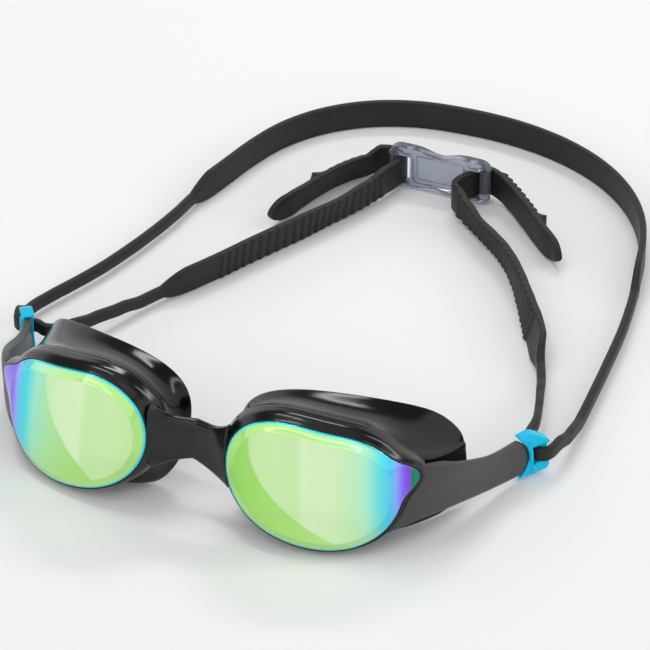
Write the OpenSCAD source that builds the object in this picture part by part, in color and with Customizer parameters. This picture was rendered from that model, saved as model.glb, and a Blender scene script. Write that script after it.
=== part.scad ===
// Swim goggles with mirrored lenses, lying on a table with the strap on edge.
// Two curved lenses sit in a soft frame, a gasket seals each eye, and a rigid arm on
// each side carries a clip. One flat strap turns round the bar of each clip and round
// the two outer bars of a ladder buckle.
// X runs to the wearer's left, Y from the lenses back to the strap, and Z up.

/* [Lenses] */
// Mean radius of a lens outline
lens_r = 23; // [21:0.5:25]
// How far the outline is drawn out sideways
lens_oval = 3.6; // [2:0.2:5]
// Slant of the outline towards the lower outer side
lens_slant = 1.5; // [0:0.25:2.5]
// Roundness of the three shoulders of the outline
lens_shoulder = 0.5; // [0:0.1:0.8]
// Reach of the pointed outer tip
lens_tip = 5.8; // [3:0.2:7]
// Angle of the tip above the middle line
tip_angle = 6; // [0:1:12]
// Angle over which the tip fades into the oval
tip_spread = 9.5; // [8:0.5:14]
// Thickness of a lens
lens_t = 2.2; // [1.6:0.1:3]
// Width of the bevelled border round the raised middle
bevel_w = 3.2; // [2:0.2:5]
// Height of the raised middle above the border
bevel_h = 1; // [0.4:0.1:1.6]
// Radius of the lens's sideways bend
bend_r = 56; // [50:1:80]
// Radius of the lens's up-and-down bend
bend_v = 168; // [120:4:240]

/* [Face fit] */
// Distance from the middle of the goggles to a lens centre
eye_x = 39.2; // [37:0.2:42]
// Angle by which each lens wraps back round the face
wrap = 12.7; // [8:0.5:18]
// Angle by which the top of each lens leans back
lean = 15.4; // [8:0.5:20]
// Tip of the whole frame when it rests on the table
pitch = 8; // [4:0.5:12]
// Height of the lens centres above the table
eye_z = 22.1; // [21.5:0.1:26]

/* [Frame] */
// Width of the frame's lip outside the lens edge
lip_w = 0.7; // [0.5:0.1:1.6]
// Depth of the rim behind the lens border
rim_depth = 6.5; // [5:0.25:9]
// How far the rim's side wall spreads towards the back
rim_spread = 1.6; // [0.5:0.1:2.5]
// Width of the ledge that carries the lens
ledge_w = 1.8; // [1.2:0.1:2.5]
// Height of the nose bridge at its middle
bridge_h = 11.5; // [9:0.5:14]
// Thickness of the nose bridge
bridge_t = 3.4; // [2.6:0.2:4.4]

/* [Gaskets] */
// Half the width of the sealing lip round one eye
seal_w = 36.4; // [31:0.2:38]
// Half the height of the sealing lip
seal_h = 18.9; // [17:0.25:19.5]
// Shift of the sealing lip towards the temple
seal_shift = 9; // [5:0.25:10]
// Depth of the sealing lip behind the lens border
seal_depth = 22; // [19:0.5:24]
// How much deeper the lip lies above the eye, and shallower below it
seal_slope = 3; // [0:0.25:4]
// Wall of a gasket
seal_t = 1.4; // [1:0.1:2]

/* [Arms and clips] */
// Thickness of an arm
arm_t = 2.6; // [2:0.1:3.5]
// Height of an arm where the clip starts
arm_h = 13.4; // [11:0.2:14.6]
// Bulge of the arm's rounded end
arm_bulge = 3.2; // [2.4:0.2:4]
// Distance of the arm's end outside the lens centre
arm_out = 41.8; // [39:0.2:45]
// Distance of the arm's end behind the lens centres
arm_end_y = 57; // [52:0.5:62]
// Plan angle of the clip, measured from straight sideways
clip_angle = 53; // [45:1:70]
// Thickness of a clip
clip_t = 3.4; // [3:0.1:4.5]
// Height of a clip
clip_h = 15.8; // [15:0.2:17.4]
// Distance from the seam to the clip's rear bar
clip_bar_at = 8.9; // [8:0.1:11]
// Radius of the clip's rear bar
clip_bar_r = 1.3; // [1.1:0.1:1.6]
// Height of the clip below its slot
clip_low_rail = 5; // [4:0.2:5.4]

/* [Strap] */
// Thickness of the wide band and of the strap in clips and buckle
strap_t = 2.2; // [1.8:0.1:2.6]
// Height of the wide band and of the ribbed legs
band_h = 10; // [8.5:0.25:11]
// Height of the narrow runs through the clips
narrow_h = 4.2; // [3.6:0.2:5.2]
// Thickness of the narrow runs away from the clips, where they are nearly round
narrow_t = 2.8; // [2.4:0.1:3.4]
// Distance from rib to rib
rib_pitch = 3.4; // [2.8:0.2:4]
// Height of a rib
rib_h = 0.9; // [0.4:0.1:1.2]
// Clearance between the strap and the bars that it turns round
bar_gap = 0.25; // [0.15:0.05:0.4]

/* [Buckle] */
// Length of the buckle
buckle_l = 36.6; // [34:0.2:40]
// Height of the buckle's rail below the strap
low_rail = 1.6; // [1:0.1:3]
// Height of the buckle's rail above the strap, at its two lobes
top_rail = 3.2; // [2:0.1:5]
// How much lower the buckle is between its lobes
waist = 1.7; // [0.5:0.1:2.5]
// Thickness of the buckle's rails
buckle_t = 4; // [3.4:0.1:5]
// Thickness of the recessed plate in its middle
plate_t = 2.2; // [1.6:0.1:3]
// Radius of the two outer bars
buckle_bar_r = 1.9; // [1.6:0.1:2.2]
// Sideways place of the buckle
buckle_x = -1.4; // [-3:0.2:3]
// Distance of the buckle behind the lens centres
buckle_y = 200; // [196:0.5:204]

/* [Hidden] */

// Placement of the whole object: the origin is under the middle of its outline
mid_y = 119;
around = 60;            // facets round an eye
cuts = 12;              // cuts along an arm
strap_edge = 0.5;       // chamfer on the strap's corners
plain_step = 5;         // facet length on plain strap
fit_gap = 0.12;         // clearance between pieces that are fitted together
seat_gap = 0.2;         // clearance between the strap and an end of the buckle's slot
slot_gap = 0.8;         // the same in a clip, where the strap is narrow

// ---- shared shapes ----
function lerp(a, b, t) = a + (b - a) * t;
function unit(v) = v / norm(v);
function bend(a, b, c, d, t) =
    let (s = 1 - t) s * s * s * a + 3 * s * s * t * b + 3 * s * t * t * c + t * t * t * d;
function middle(pts) = [for (k = [0 : 2]) let (all = [for (p = pts) p[k]]) total(all) / len(pts)];
function total(v, i = 0) = i < len(v) ? v[i] + total(v, i + 1) : 0;

// A solid through closed rings of points. A loop joins its last ring to its first.
module skin(rings, loop = false) {
    m = len(rings[0]);
    n = len(rings);
    last = loop ? n - 1 : n - 2;
    walls = [for (i = [0 : last], j = [0 : m - 1])
        let (a = i * m + j, b = i * m + (j + 1) % m,
            c = ((i + 1) % n) * m + (j + 1) % m, d = ((i + 1) % n) * m + j)
        each [[a, c, b], [a, d, c]]];
    first_end = [for (j = [0 : m - 1]) [j, (j + 1) % m, n * m]];
    last_end = [for (j = [0 : m - 1]) [(n - 1) * m + (j + 1) % m, (n - 1) * m + j, n * m + 1]];
    points = [for (ring = rings) each ring];
    if (loop) polyhedron(points, walls);
    else polyhedron(concat(points, [middle(rings[0]), middle(rings[n - 1])]),
        concat(walls, first_end, last_end));
}

// A solid between two matching grids of points
module slab(front, back) {
    rows = len(front);
    skin([for (i = [0 : rows - 1]) concat(front[i], [for (k = [len(back[i]) - 1 : -1 : 0]) back[i][k]])]);
}

module on_side(side) {
    translate([0, -mid_y, 0]) mirror([side < 0 ? 1 : 0, 0, 0]) children();
}

// ---- the curved surface that lens, rim and gasket share ----
U = [cos(wrap), sin(wrap), 0];
OUT = [sin(wrap) * cos(lean), -cos(wrap) * cos(lean), sin(lean)];
V = cross(OUT, U);
function tip_bump(t) = let (d = (t - tip_angle + 540) % 360 - 180) exp(-pow(d / tip_spread, 2));
function edge_r(t, grow, tip = 1) = lens_r + grow + lens_oval * cos(2 * t) - lens_slant * sin(2 * t)
    + lens_shoulder * cos(3 * t - 54) + lens_tip * tip * tip_bump(t);
function tipped(p) = [p[0], p[1] * cos(pitch) - p[2] * sin(pitch),
    eye_z + p[1] * sin(pitch) + p[2] * cos(pitch)];
function eye_point(u, v, n) =
    let (turn = u / bend_r * 180 / PI,
        drop = bend_r * (1 - cos(turn)) + v * v / (2 * bend_v))
    tipped([eye_x, 0, 0] + bend_r * sin(turn) * U + v * V + (n - drop) * OUT);
// Point at angle t round the lens, grow outside its outline and n in front of its border
function edge_point(t, grow, n, tip = 1) =
    let (r = edge_r(t, grow, tip)) eye_point(r * cos(t), r * sin(t), n);
around_eye = [for (k = [0 : around - 1]) -k * 360 / around];
function ring(grow, n, tip = 1) = [for (t = around_eye) edge_point(t, grow, n, tip)];

function away(t, from) = (t - from + 540) % 360 - 180;
function bump(t, from, spread) = exp(-pow(away(t, from) / spread, 2));
// Strength of the flat shoulder where the arm meets the rim
function shoulder(t) = exp(-pow(away(t, -14) / 34, 4));
function ring_by(grow, n, tip, more = 0) = [for (t = around_eye)
    edge_point(t, lerp(grow, rim_out, shoulder(t)) + more, n, tip)];
// Outside of the rim's wall, which stands less proud below the eye
function rim_edge(t) = lerp(rim_out - 1.1 * max(0, -sin(t)), rim_out, shoulder(t));
function rim_ring(more, n, tip) = [for (t = around_eye) edge_point(t, rim_edge(t) + more, n, tip)];

// ---- lenses ----
module lens(side) {
    inner = bevel_h - lens_t;
    on_side(side) skin([
        ring(-lens_r * 0.96, bevel_h, 0),
        ring(-lens_r * 0.66, bevel_h, 0.05),
        ring(-lens_r * 0.36, bevel_h, 0.15),
        ring(-bevel_w, bevel_h, 0.35),
        ring(-bevel_w + 0.7, bevel_h * 0.72, 0.5),
        ring(-0.3, 0, 1),
        ring(0, -0.3, 1),
        ring(0, -lens_t, 1),
        ring(-bevel_w, inner, 0.35),
        ring(-lens_r * 0.36, inner, 0.15),
        ring(-lens_r * 0.66, inner, 0.05),
        ring(-lens_r * 0.96, inner, 0)]);
}
module lens_left() { color("#bfe8a8") lens(1); }
module lens_right() { color("#bfe8a8") lens(-1); }

// ---- frame ----
rim_out = lip_w + rim_spread;
lens_back = lens_t + fit_gap;
module rim(side) {
    on_side(side) skin([
        ring(fit_gap, -0.4),
        ring_by(lip_w, -0.6, 1),
        rim_ring(-0.4, -2.4, 1),
        rim_ring(0, -rim_depth, 0.85),
        ring(-ledge_w, -rim_depth, 0.7),
        ring(-ledge_w, -lens_back, 0.85),
        ring(fit_gap, -lens_back)], loop = true);
}
bridge_sections = 13;   // cross-sections along the bridge
bridge_lean = 0.25;     // how far the bridge leans back for its height
bridge_back = 7.9;      // distance of its middle behind the lens centres
bridge_rise = 1.5;      // how far its middle stands above its ends
nose_top = edge_point(158, rim_out, -3.2);
nose_low = edge_point(193, rim_out, -3.2);
function squared(c) = sign(c) * pow(abs(c), 0.6);
module bridge() {
    end = (nose_top + nose_low) / 2 + [0.4, 0, 0];
    tall = norm(nose_top - nose_low);
    skin([for (i = [0 : bridge_sections - 1])
        let (s = i / (bridge_sections - 1) * 2 - 1, f = pow(abs(s), 1.2),
            h = lerp(bridge_h, tall, f) / 2,
            mid = lerp([0, bridge_back, end[2] + bridge_rise], end, f))
        [for (a = [0 : 22.5 : 337.5])
            let (up = h * squared(sin(a)))
            [s * end[0], mid[1] + bridge_t / 2 * squared(cos(a)) + bridge_lean * (1 - f) * up,
                mid[2] + up]]]);
}
module frame() {
    color("#1c1c1e") {
        rim(1);
        rim(-1);
        translate([0, -mid_y, 0]) bridge();
    }
}

// ---- gaskets ----
seal_front = -rim_depth - fit_gap;
seal_drop = 0.6;        // drop of the lip's middle below the lens centre
seal_square = 0.95;     // 1 gives a plain oval lip above the eye, and less squares it off
seal_flat = 0.4;        // the same below the eye
seal_tilt = 6.5;        // rise of the lip's top towards the nose
seal_round = 4.5;       // how much its top corner at the temple is rounded down
seal_foot = 1.3;        // how much its two lower corners are let down
seal_fore = 5;          // how much further forward it stands below the eye
function seal_power(c, t) = sign(c) * pow(abs(c), lerp(seal_flat, seal_square, (1 + sin(t)) / 2));
// Point at angle t, part way f from the rim to the sealing lip, and in from the outer wall
function seal_point(t, f, in, back) =
    let (neck = edge_r(t, rim_edge(t) - rim_out + 1.4, 0.75),
        lip_u = seal_shift + seal_w * seal_power(cos(t), t),
        lip_v = -seal_drop + seal_h * seal_power(sin(t), t) - seal_tilt * cos(t) * max(0, sin(t))
            - seal_round * bump(t, 26, 20) - seal_foot * (bump(t, -132, 22) + bump(t, -40, 20)),
        g = lerp(f, 1 - pow(1 - f, 2.5), (1 - sin(t)) / 2),
        u = lerp(neck * cos(t), lip_u, g),
        v = lerp(neck * sin(t), lip_v, g),
        depth = seal_depth + seal_slope * cos(t - 60) - seal_fore * max(0, -sin(t)),
        n = lerp(seal_front - 1.5, -depth, f),
        r = norm([u, v]))
    eye_point(u * (1 - in / r), v * (1 - in / r), n - back);
function seal_ring(f, in = 0, back = 0) = [for (t = around_eye) seal_point(t, f, in, back)];
module gasket(side) {
    on_side(side) skin([
        rim_ring(-0.3, seal_front, 0.8),
        seal_ring(0),
        seal_ring(0.15, 0.2),
        seal_ring(0.35, 0.3),
        seal_ring(0.65, 0.3),
        seal_ring(0.92),
        seal_ring(1, 0.2),
        seal_ring(1, 1.8, 0.5),
        seal_ring(0.92, 0.4 + 2 * seal_t),
        seal_ring(0.65, 0.3 + 1.3 * seal_t),
        seal_ring(0.3, 0.3 + seal_t),
        ring(-ledge_w, seal_front - 1.5, 0.5),
        ring(-ledge_w, seal_front, 0.6)], loop = true);
}
module gasket_left() { color("#202022") gasket(1); }
module gasket_right() { color("#202022") gasket(-1); }

// ---- arms ----
arm_top_angle = 9;
arm_low_angle = -38;
arm_low_z = 1.2;        // underside of the arm's end above the table
arm_exit = 64;          // plan angle at which an arm reaches its clip
arm_front_reach = 16;   // length of the arm's first curve, at the rim
arm_end_reach = 15;     // length of its last curve, at the clip
arm_rise = 0.35;        // upward start of the arm's lower edge
arm_end_x = eye_x + arm_out;
end_r = (pow(arm_h / 2, 2) + pow(arm_bulge, 2)) / (2 * arm_bulge);
end_half = asin(arm_h / 2 / end_r);
clip_out = [sin(clip_angle), -cos(clip_angle), 0];
clip_along = [cos(clip_angle), sin(clip_angle), 0];
function arm_start(p) = edge_point(lerp(arm_top_angle, arm_low_angle, p), rim_out - 1.5, -0.7);
function arm_leave(p) =
    let (t = lerp(arm_top_angle, arm_low_angle, p), r = edge_r(t, rim_out), u = r * cos(t))
    unit(eye_point(u + 1, r * sin(t), 0) - eye_point(u, r * sin(t), 0));
function arm_end(p) =
    let (phi = lerp(end_half, -end_half, p))
    [arm_end_x, arm_end_y, arm_low_z + arm_h / 2 + end_r * sin(phi)]
    + clip_out * clip_t / 2 + clip_along * end_r * (cos(phi) - cos(end_half));
function arm_outer(s, p) =
    let (a = arm_start(p), d = arm_end(p), in_dir = [cos(arm_exit), sin(arm_exit), 0])
    bend(a, a + (arm_leave(p) + [0, 0, arm_rise * p]) * arm_front_reach, d - in_dir * arm_end_reach, d, s);
function arm_normal(s, p) =
    let (e = 0.02, a = min(s, 1 - e), b = min(p, 1 - e))
    unit(cross(arm_outer(a, b + e) - arm_outer(a, b), arm_outer(a + e, b) - arm_outer(a, b)));
rim_front = unit(eye_point(0, 0, 1) - eye_point(0, 0, 0));
// Way through the arm's thickness, square to the rim at its start
function arm_in(s, p) = -unit(lerp(rim_front, arm_normal(s, p), min(1, 3 * s)));
// The space of a lens and its rim, with clearance
module rim_room() {
    skin([
        ring_by(lip_w, 4, 1, fit_gap),
        ring_by(lip_w, -0.6, 1, fit_gap),
        rim_ring(fit_gap - 0.4, -2.4, 1),
        rim_ring(fit_gap, -rim_depth, 0.85),
        rim_ring(fit_gap, -2 * rim_depth, 0.85)]);
}
module arm(side) {
    across = 8;
    outer = [for (i = [0 : cuts]) [for (j = [0 : across]) arm_outer(i / cuts, j / across)]];
    inner = [for (i = [0 : cuts]) [for (j = [0 : across])
        arm_outer(i / cuts, j / across) + arm_t * arm_in(i / cuts, j / across)]];
    on_side(side) difference() {
        slab(outer, inner);
        rim_room();
    }
}
module arm_left() { color("#4a4a4a") arm(1); }
module arm_right() { color("#4a4a4a") arm(-1); }

// ---- clips ----
clip_bar_x = arm_end_x + clip_bar_at * cos(clip_angle);
clip_bar_y = arm_end_y + clip_bar_at * sin(clip_angle);
slot_h = narrow_h + 2 * slot_gap;
clip_strap_z = clip_low_rail + slot_h / 2;
run_z = 3.8;            // height of the strap's middle between a clip and the wide strap
clip_slot_w = clip_bar_r + strap_t + 1;   // from the bar's middle to the slot's front end
ridge_r = 0.9;          // radius of the ridge on the clip's outer face
ridge_lean = 12;        // angle by which the ridge's foot stands back
module clip_outline() {
    hull() {
        translate([0.9, arm_low_z + arm_h - 0.5]) circle(1.2);
        translate([3.7, clip_h - 3]) circle(3);
        translate([clip_bar_at - 0.7, clip_low_rail + slot_h]) circle(2.3);
        translate([clip_bar_at, 3.2]) circle(1.6);
        translate([0.8, arm_low_z + 0.9]) circle(1);
    }
}
module clip(side) {
    $fn = 40;
    low = clip_low_rail;
    slot_at = clip_bar_at - clip_slot_w;
    on_side(side) translate([arm_end_x, arm_end_y, 0]) rotate([0, 0, clip_angle]) {
        difference() {
            union() {
                rotate([90, 0, 0]) linear_extrude(clip_t, center = true) clip_outline();
                translate([slot_at + ridge_r, -clip_t / 2, 2])
                    rotate([0, -ridge_lean, 0]) cylinder(clip_h - 4.2, r = ridge_r);
            }
            rotate([90, 0, 0]) translate([-end_r * cos(end_half), arm_low_z + arm_h / 2, -clip_t])
                cylinder(2 * clip_t, r = end_r + fit_gap);
            translate([slot_at, -2 * clip_t, low]) cube([2 * clip_slot_w, 4 * clip_t, slot_h]);
        }
        translate([clip_bar_at, 0, low - 0.5]) cylinder(slot_h + 1, r = clip_bar_r);
    }
}
module clip_left() { color("#12b8e8") clip(1); }
module clip_right() { color("#12b8e8") clip(-1); }

// ---- strap ----
// The strap is one flat band. Its pieces meet end to end and share their end sections.
// Each point of its route holds x, y, height of the middle line, height of the strap, its
// thickness, its lean to the right-hand side of the way per mm of height, and its ribbing.
// Ribs are on the right-hand side.
turn_r = clip_bar_r + bar_gap + strap_t / 2;
fold_r = buckle_bar_r + bar_gap + strap_t / 2;
bar_at = buckle_l / 2 - buckle_bar_r;   // from the buckle's middle to an outer bar
strap_z = band_h / 2;
buckle_strap_z = low_rail + seat_gap + band_h / 2;
left_bar = [buckle_x + bar_at, buckle_y];
right_bar = [buckle_x - bar_at, buckle_y];
left_clip = [clip_bar_x, clip_bar_y];
right_clip = [-clip_bar_x, clip_bar_y];
wide = [strap_z, band_h, strap_t, 0];
narrow = [clip_strap_z, narrow_h, strap_t, 0];
low = [run_z, narrow_h, narrow_t, 0];
buckled = [buckle_strap_z, band_h, strap_t, 0];
blunt = [strap_z, 8.4, strap_t, 0];
tip = [strap_z, 4, strap_t, 0];
function leaning(set, lean) = [set[0], set[1], set[2], lean];

function arc(at, r, from, to, n) =
    [for (k = [0 : n]) let (a = lerp(from, to, k / n)) at + r * [cos(a), sin(a)]];
// Points of the route, with heights that change evenly from the first point to the last
function level(pts, from, to, rib = 0) = [for (k = [0 : len(pts) - 1])
    concat(pts[k], lerp(from, to, k / max(1, len(pts) - 1)), rib)];

tail_left = concat(
    level([[52.7, 169.5]], tip, tip),
    level([[50.2, 172.7]], blunt, blunt),
    level([[45, 177.5]], wide, wide),
    level([[39.4, 183.3], [33.2, 189.6], [26.3, 196.1], [19.5, 201.4]], wide, buckled, 1));
fold_left = level(arc(left_bar, fold_r, 75, 155, 4), buckled, buckled);
leg_left = concat(
    level([left_bar + [-4.4, -1.8], left_bar + [-6.8, -6.4], left_bar + [-7, -10]], buckled, buckled),
    level([[11.5, 186.2], [17.5, 181], [24.5, 175]], buckled, leaning(wide, 0.3), 1),
    level([[31, 169.5], [37.4, 163], [44.2, 154], [49.8, 145], [55.4, 135.5], [60, 127.5]],
        leaning(wide, 0.25), leaning(wide, -0.3), 1),
    level([[63.9, 120.2]], leaning(wide, -0.32), wide),
    level([[68.6, 110.4]], low, low));
inner_run_left = concat(
    level([[71.6, 103], [74.2, 95], [77.4, 85], [79.9, 75.5]], low, narrow),
    level([left_clip + [-6.1, 3.9], left_clip + [-4.6, -0.8]], narrow, narrow));
turn_left = level(arc(left_clip, turn_r, 260, 345, 4), narrow, narrow);
outer_run_left = concat(
    level([left_clip + [3.5, 4.4], left_clip + [4, 11.9], [89.8, 88]], narrow, low),
    level([[88.6, 104], [87.2, 120], [85.1, 140]], low, low));
band = concat(
    level([[81.6, 160.5]], low, low),
    level([[79.2, 171], [76, 184.5], [70.5, 198.5], [62, 211.5], [50, 223.2], [34, 232.6],
        [13, 238.6], [-7, 239.6], [-25, 237.3], [-40, 231], [-53, 220], [-62, 205.5],
        [-66.5, 191], [-69.3, 176], [-70.9, 167.5]], wide, wide),
    level([[-73.1, 157.2]], low, low));
outer_run_right = concat(
    level([[-73.8, 147], [-75.7, 132.5], [-78.5, 118], [-81.6, 105.5], [-85.2, 94.7], [-88.8, 84.8]],
        low, low),
    level([right_clip + [-4.9, 11.5], right_clip + [-4, 2.9]], low, narrow));
turn_right = level(arc(right_clip, turn_r, 195, 280, 4), narrow, narrow);
inner_run_right = concat(
    level([right_clip + [1.2, -2.45]], narrow, narrow),
    level([right_clip + [4.4, -1], right_clip + [8, -2.2], right_clip + [11.4, -1]], narrow, narrow),
    level([[-71.8, 67.3], [-68.2, 75.4], [-64, 86], [-60.6, 94.2]], narrow, low));
leg_right = concat(
    level([[-57.3, 101.6]], low, low),
    level([[-51.6, 111.1]], leaning(wide, 0.15), wide),
    level([[-46.7, 121.2], [-41.5, 133], [-32.1, 153]], leaning(wide, 0.15), leaning(wide, 0.15), 1),
    level([[-25.7, 167.1], [-20.1, 179.8], [-17, 188.5]], leaning(wide, 0.25), buckled, 1),
    level([right_bar + [2.5, -6]], buckled, buckled));
fold_right = level(arc(right_bar, fold_r, -10, 95, 5), buckled, buckled);
tail_right = concat(
    level([[-23, 202.3]], buckled, buckled, 1),
    level([[-28.3, 197.6], [-33.6, 189], [-37, 179.6]], leaning(wide, -0.35), leaning(wide, -0.3), 1),
    level([[-39, 172.6], [-41, 165.4]], leaning(wide, -0.25), leaning(wide, -0.15)),
    level([[-43, 159.6]], blunt, blunt),
    level([[-44.2, 156]], tip, tip));

pieces = [tail_left, fold_left, leg_left, inner_run_left, turn_left, outer_run_left, band,
    outer_run_right, turn_right, inner_run_right, leg_right, fold_right, tail_right];
route = [for (piece = pieces) each piece];
route_end = len(route) - 1;
function starts(i) = i == 0 ? 0 : starts(i - 1) + len(pieces[i - 1]);
function flat(p) = [p[0], p[1]];
// Way of the strap at point k, from its neighbours
function way(k) =
    let (a = flat(route[max(0, k - 1)]), b = flat(route[k]), c = flat(route[min(route_end, k + 1)]),
        before = max(0.01, norm(b - a)), after = max(0.01, norm(c - b)))
    unit((b - a) / before * after + (c - b) / after * before);
function ribbed(k) = route[k][6] + route[k + 1][6] > 1.5;
function steps(k) =
    let (gap = norm(flat(route[k + 1]) - flat(route[k])), change = abs(route[k + 1][3] - route[k][3]))
    ribbed(k) ? 2 * round(gap / rib_pitch) : ceil(gap / plain_step + change / 2);
// Section of the strap, part way t from point k to the next one
function station(k, t, crest) =
    let (a = route[k], b = route[min(route_end, k + 1)], gap = norm(flat(b) - flat(a)),
        c = t * t * (3 - 2 * t), m = t * (1 - t) * (1 - t), w = -t * t * (1 - t),
        dc = 6 * t * (1 - t), dm = (1 - t) * (1 - 3 * t), dw = t * (3 * t - 2),
        at = lerp(flat(a), flat(b), c) + gap * (m * way(k) + w * way(min(route_end, k + 1))),
        to = gap < 0.01 ? way(k)
            : unit((flat(b) - flat(a)) * dc + gap * (dm * way(k) + dw * way(min(route_end, k + 1)))),
        side = [to[1], -to[0]], z = lerp(a[2], b[2], c), tall = lerp(a[3], b[3], c) / 2,
        thin = lerp(a[4], b[4], c) / 2, thick = thin + rib_h * crest, slant = lerp(a[5], b[5], c),
        e = strap_edge + max(0, thin - strap_t / 2))
    [for (q = [[thick - e, -tall], [e - thin, -tall], [-thin, e - tall], [-thin, tall - e],
            [e - thin, tall], [thick - e, tall], [thick, tall - e], [thick, e - tall]])
        let (off = q[0] + slant * q[1])
        [at[0] + side[0] * off, at[1] + side[1] * off - mid_y, z + q[1]]];
module strap(i) {
    first = starts(i);
    last = min(route_end, first + len(pieces[i]));
    rings = [for (k = [first : last - 1]) let (n = steps(k))
        for (j = [0 : n - 1]) station(k, j / n, ribbed(k) ? j % 2 : 0)];
    skin(concat(rings, [last == route_end ? station(last - 1, 1, 0) : station(last, 0, 0)]));
}
nub_r = 1.6;            // radius of the stop near the end of a tail
module nub(at, to) {
    side = unit([to[1], -to[0]]);
    off = strap_t / 2 + 1;
    translate([at[0] + side[0] * off, at[1] + side[1] * off - mid_y, strap_z - band_h / 2 + 2])
        cylinder(band_h - 2, r = nub_r, $fn = 32);
}
module strap_tail_left() {
    color("#2e2f30") {
        strap(0);
        nub(flat(tail_left[3]), way(3));
    }
}
module strap_fold_left() { color("#2e2f30") strap(1); }
module strap_leg_left() { color("#2e2f30") strap(2); }
module strap_inner_run_left() { color("#2e2f30") strap(3); }
module strap_turn_left() { color("#2e2f30") strap(4); }
module strap_outer_run_left() { color("#2e2f30") strap(5); }
module strap_band() { color("#2e2f30") strap(6); }
module strap_outer_run_right() { color("#2e2f30") strap(7); }
module strap_turn_right() { color("#2e2f30") strap(8); }
module strap_inner_run_right() { color("#2e2f30") strap(9); }
module strap_leg_right() { color("#2e2f30") strap(10); }
module strap_fold_right() { color("#2e2f30") strap(11); }
module strap_tail_right() {
    color("#2e2f30") {
        strap(12);
        nub(flat(tail_right[3]), way(route_end - 4));
    }
}

// ---- buckle ----
lobe_r = 4;             // roundness of the buckle's corners
slot_top = low_rail + band_h + 2 * seat_gap;
buckle_h = slot_top + top_rail;
cross_x = bar_at - buckle_bar_r - 2 * strap_t;   // from the buckle's middle to a slot
plate_x = cross_x - 1.5;                         // half the width of the recessed plate
plate_low = low_rail + 1;
module buckle_outline() {
    for (s = [-1, 1])
        hull()
            for (x = [buckle_l / 2 - lobe_r, plate_x], z = [lobe_r, buckle_h - lobe_r])
                translate([s * x, z]) circle(lobe_r, $fn = 48);
    translate([-plate_x, waist / 2]) square([2 * plate_x, buckle_h - 1.5 * waist]);
}
module buckle() {
    color("#8d9aa5") translate([buckle_x, buckle_y - mid_y, 0]) {
        difference() {
            rotate([90, 0, 0]) linear_extrude(buckle_t, center = true) buckle_outline();
            for (s = [-1, 1]) {
                translate([s > 0 ? cross_x : -cross_x - buckle_l, -buckle_t, low_rail])
                    cube([buckle_l, 2 * buckle_t, slot_top - low_rail]);
                translate([-plate_x, s > 0 ? plate_t / 2 : -plate_t / 2 - buckle_t, plate_low])
                    cube([2 * plate_x, buckle_t, slot_top - plate_low]);
            }
        }
        for (s = [-1, 1])
            translate([s * bar_at, 0, low_rail - 0.5])
                cylinder(slot_top - low_rail + 1, r = buckle_bar_r, $fn = 40);
    }
}

lens_left();
lens_right();
frame();
gasket_left();
gasket_right();
arm_left();
arm_right();
clip_left();
clip_right();
strap_band();
strap_outer_run_left();
strap_outer_run_right();
strap_turn_left();
strap_turn_right();
strap_inner_run_left();
strap_inner_run_right();
strap_leg_left();
strap_leg_right();
strap_fold_left();
strap_fold_right();
strap_tail_left();
strap_tail_right();
buckle();
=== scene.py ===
# %% [markdown]
# # Swim goggles
# Two mirrored lenses sit in one soft black frame. Each eye has a flared gasket, and each
# side has a stiff arm that ends in a bright clip. One flat rubber strap turns round the
# clips' bars and is adjusted by a clear ladder buckle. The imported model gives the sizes
# and the moving bodies, and this script gives every piece its finished shape and surface.

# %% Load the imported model
import math
import bpy
import bmesh
from mathutils import Vector, Matrix


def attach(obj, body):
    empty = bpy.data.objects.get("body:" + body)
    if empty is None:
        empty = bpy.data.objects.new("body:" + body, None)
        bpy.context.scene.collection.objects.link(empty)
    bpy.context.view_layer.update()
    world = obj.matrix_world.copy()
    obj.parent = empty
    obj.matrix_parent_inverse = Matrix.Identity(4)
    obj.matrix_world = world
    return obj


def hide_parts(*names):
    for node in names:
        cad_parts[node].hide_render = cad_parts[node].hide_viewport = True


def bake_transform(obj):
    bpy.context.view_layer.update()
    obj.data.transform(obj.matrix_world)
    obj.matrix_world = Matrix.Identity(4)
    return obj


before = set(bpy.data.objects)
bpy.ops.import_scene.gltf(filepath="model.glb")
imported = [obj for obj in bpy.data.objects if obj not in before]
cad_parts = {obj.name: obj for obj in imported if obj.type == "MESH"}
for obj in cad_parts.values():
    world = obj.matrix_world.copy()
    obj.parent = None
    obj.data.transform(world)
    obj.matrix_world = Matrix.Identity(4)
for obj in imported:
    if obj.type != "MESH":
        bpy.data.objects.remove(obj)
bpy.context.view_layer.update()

# %% [markdown]
# ## Units and places
# All sizes below are millimetres, as a maker would write them, and each mesh is scaled
# to metres at the end. Distances along Y are counted from the lens centres, so one
# helper moves them to the model's own origin, which lies under the middle of the object.

# %% Shared sizes and helpers
MM = 0.001               # in metres
MID_Y = 119.0            # from the lens centres back to the origin


def place(x, y, z):
    return Vector((x, y - MID_Y, z)) * MM


def lerp(a, b, t):
    return a + (b - a) * t


print("the lens centres stand at y =", place(0, 0, 0).y, "m")

# %% [markdown]
# ## Camera
# The camera is made first. It stands in front of the goggles, to the wearer's left, and
# looks down at them through a long lens, so that near and far parts keep their sizes. It
# could be aimed with a tracking constraint, but axes built from its angles are exact.

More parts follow.
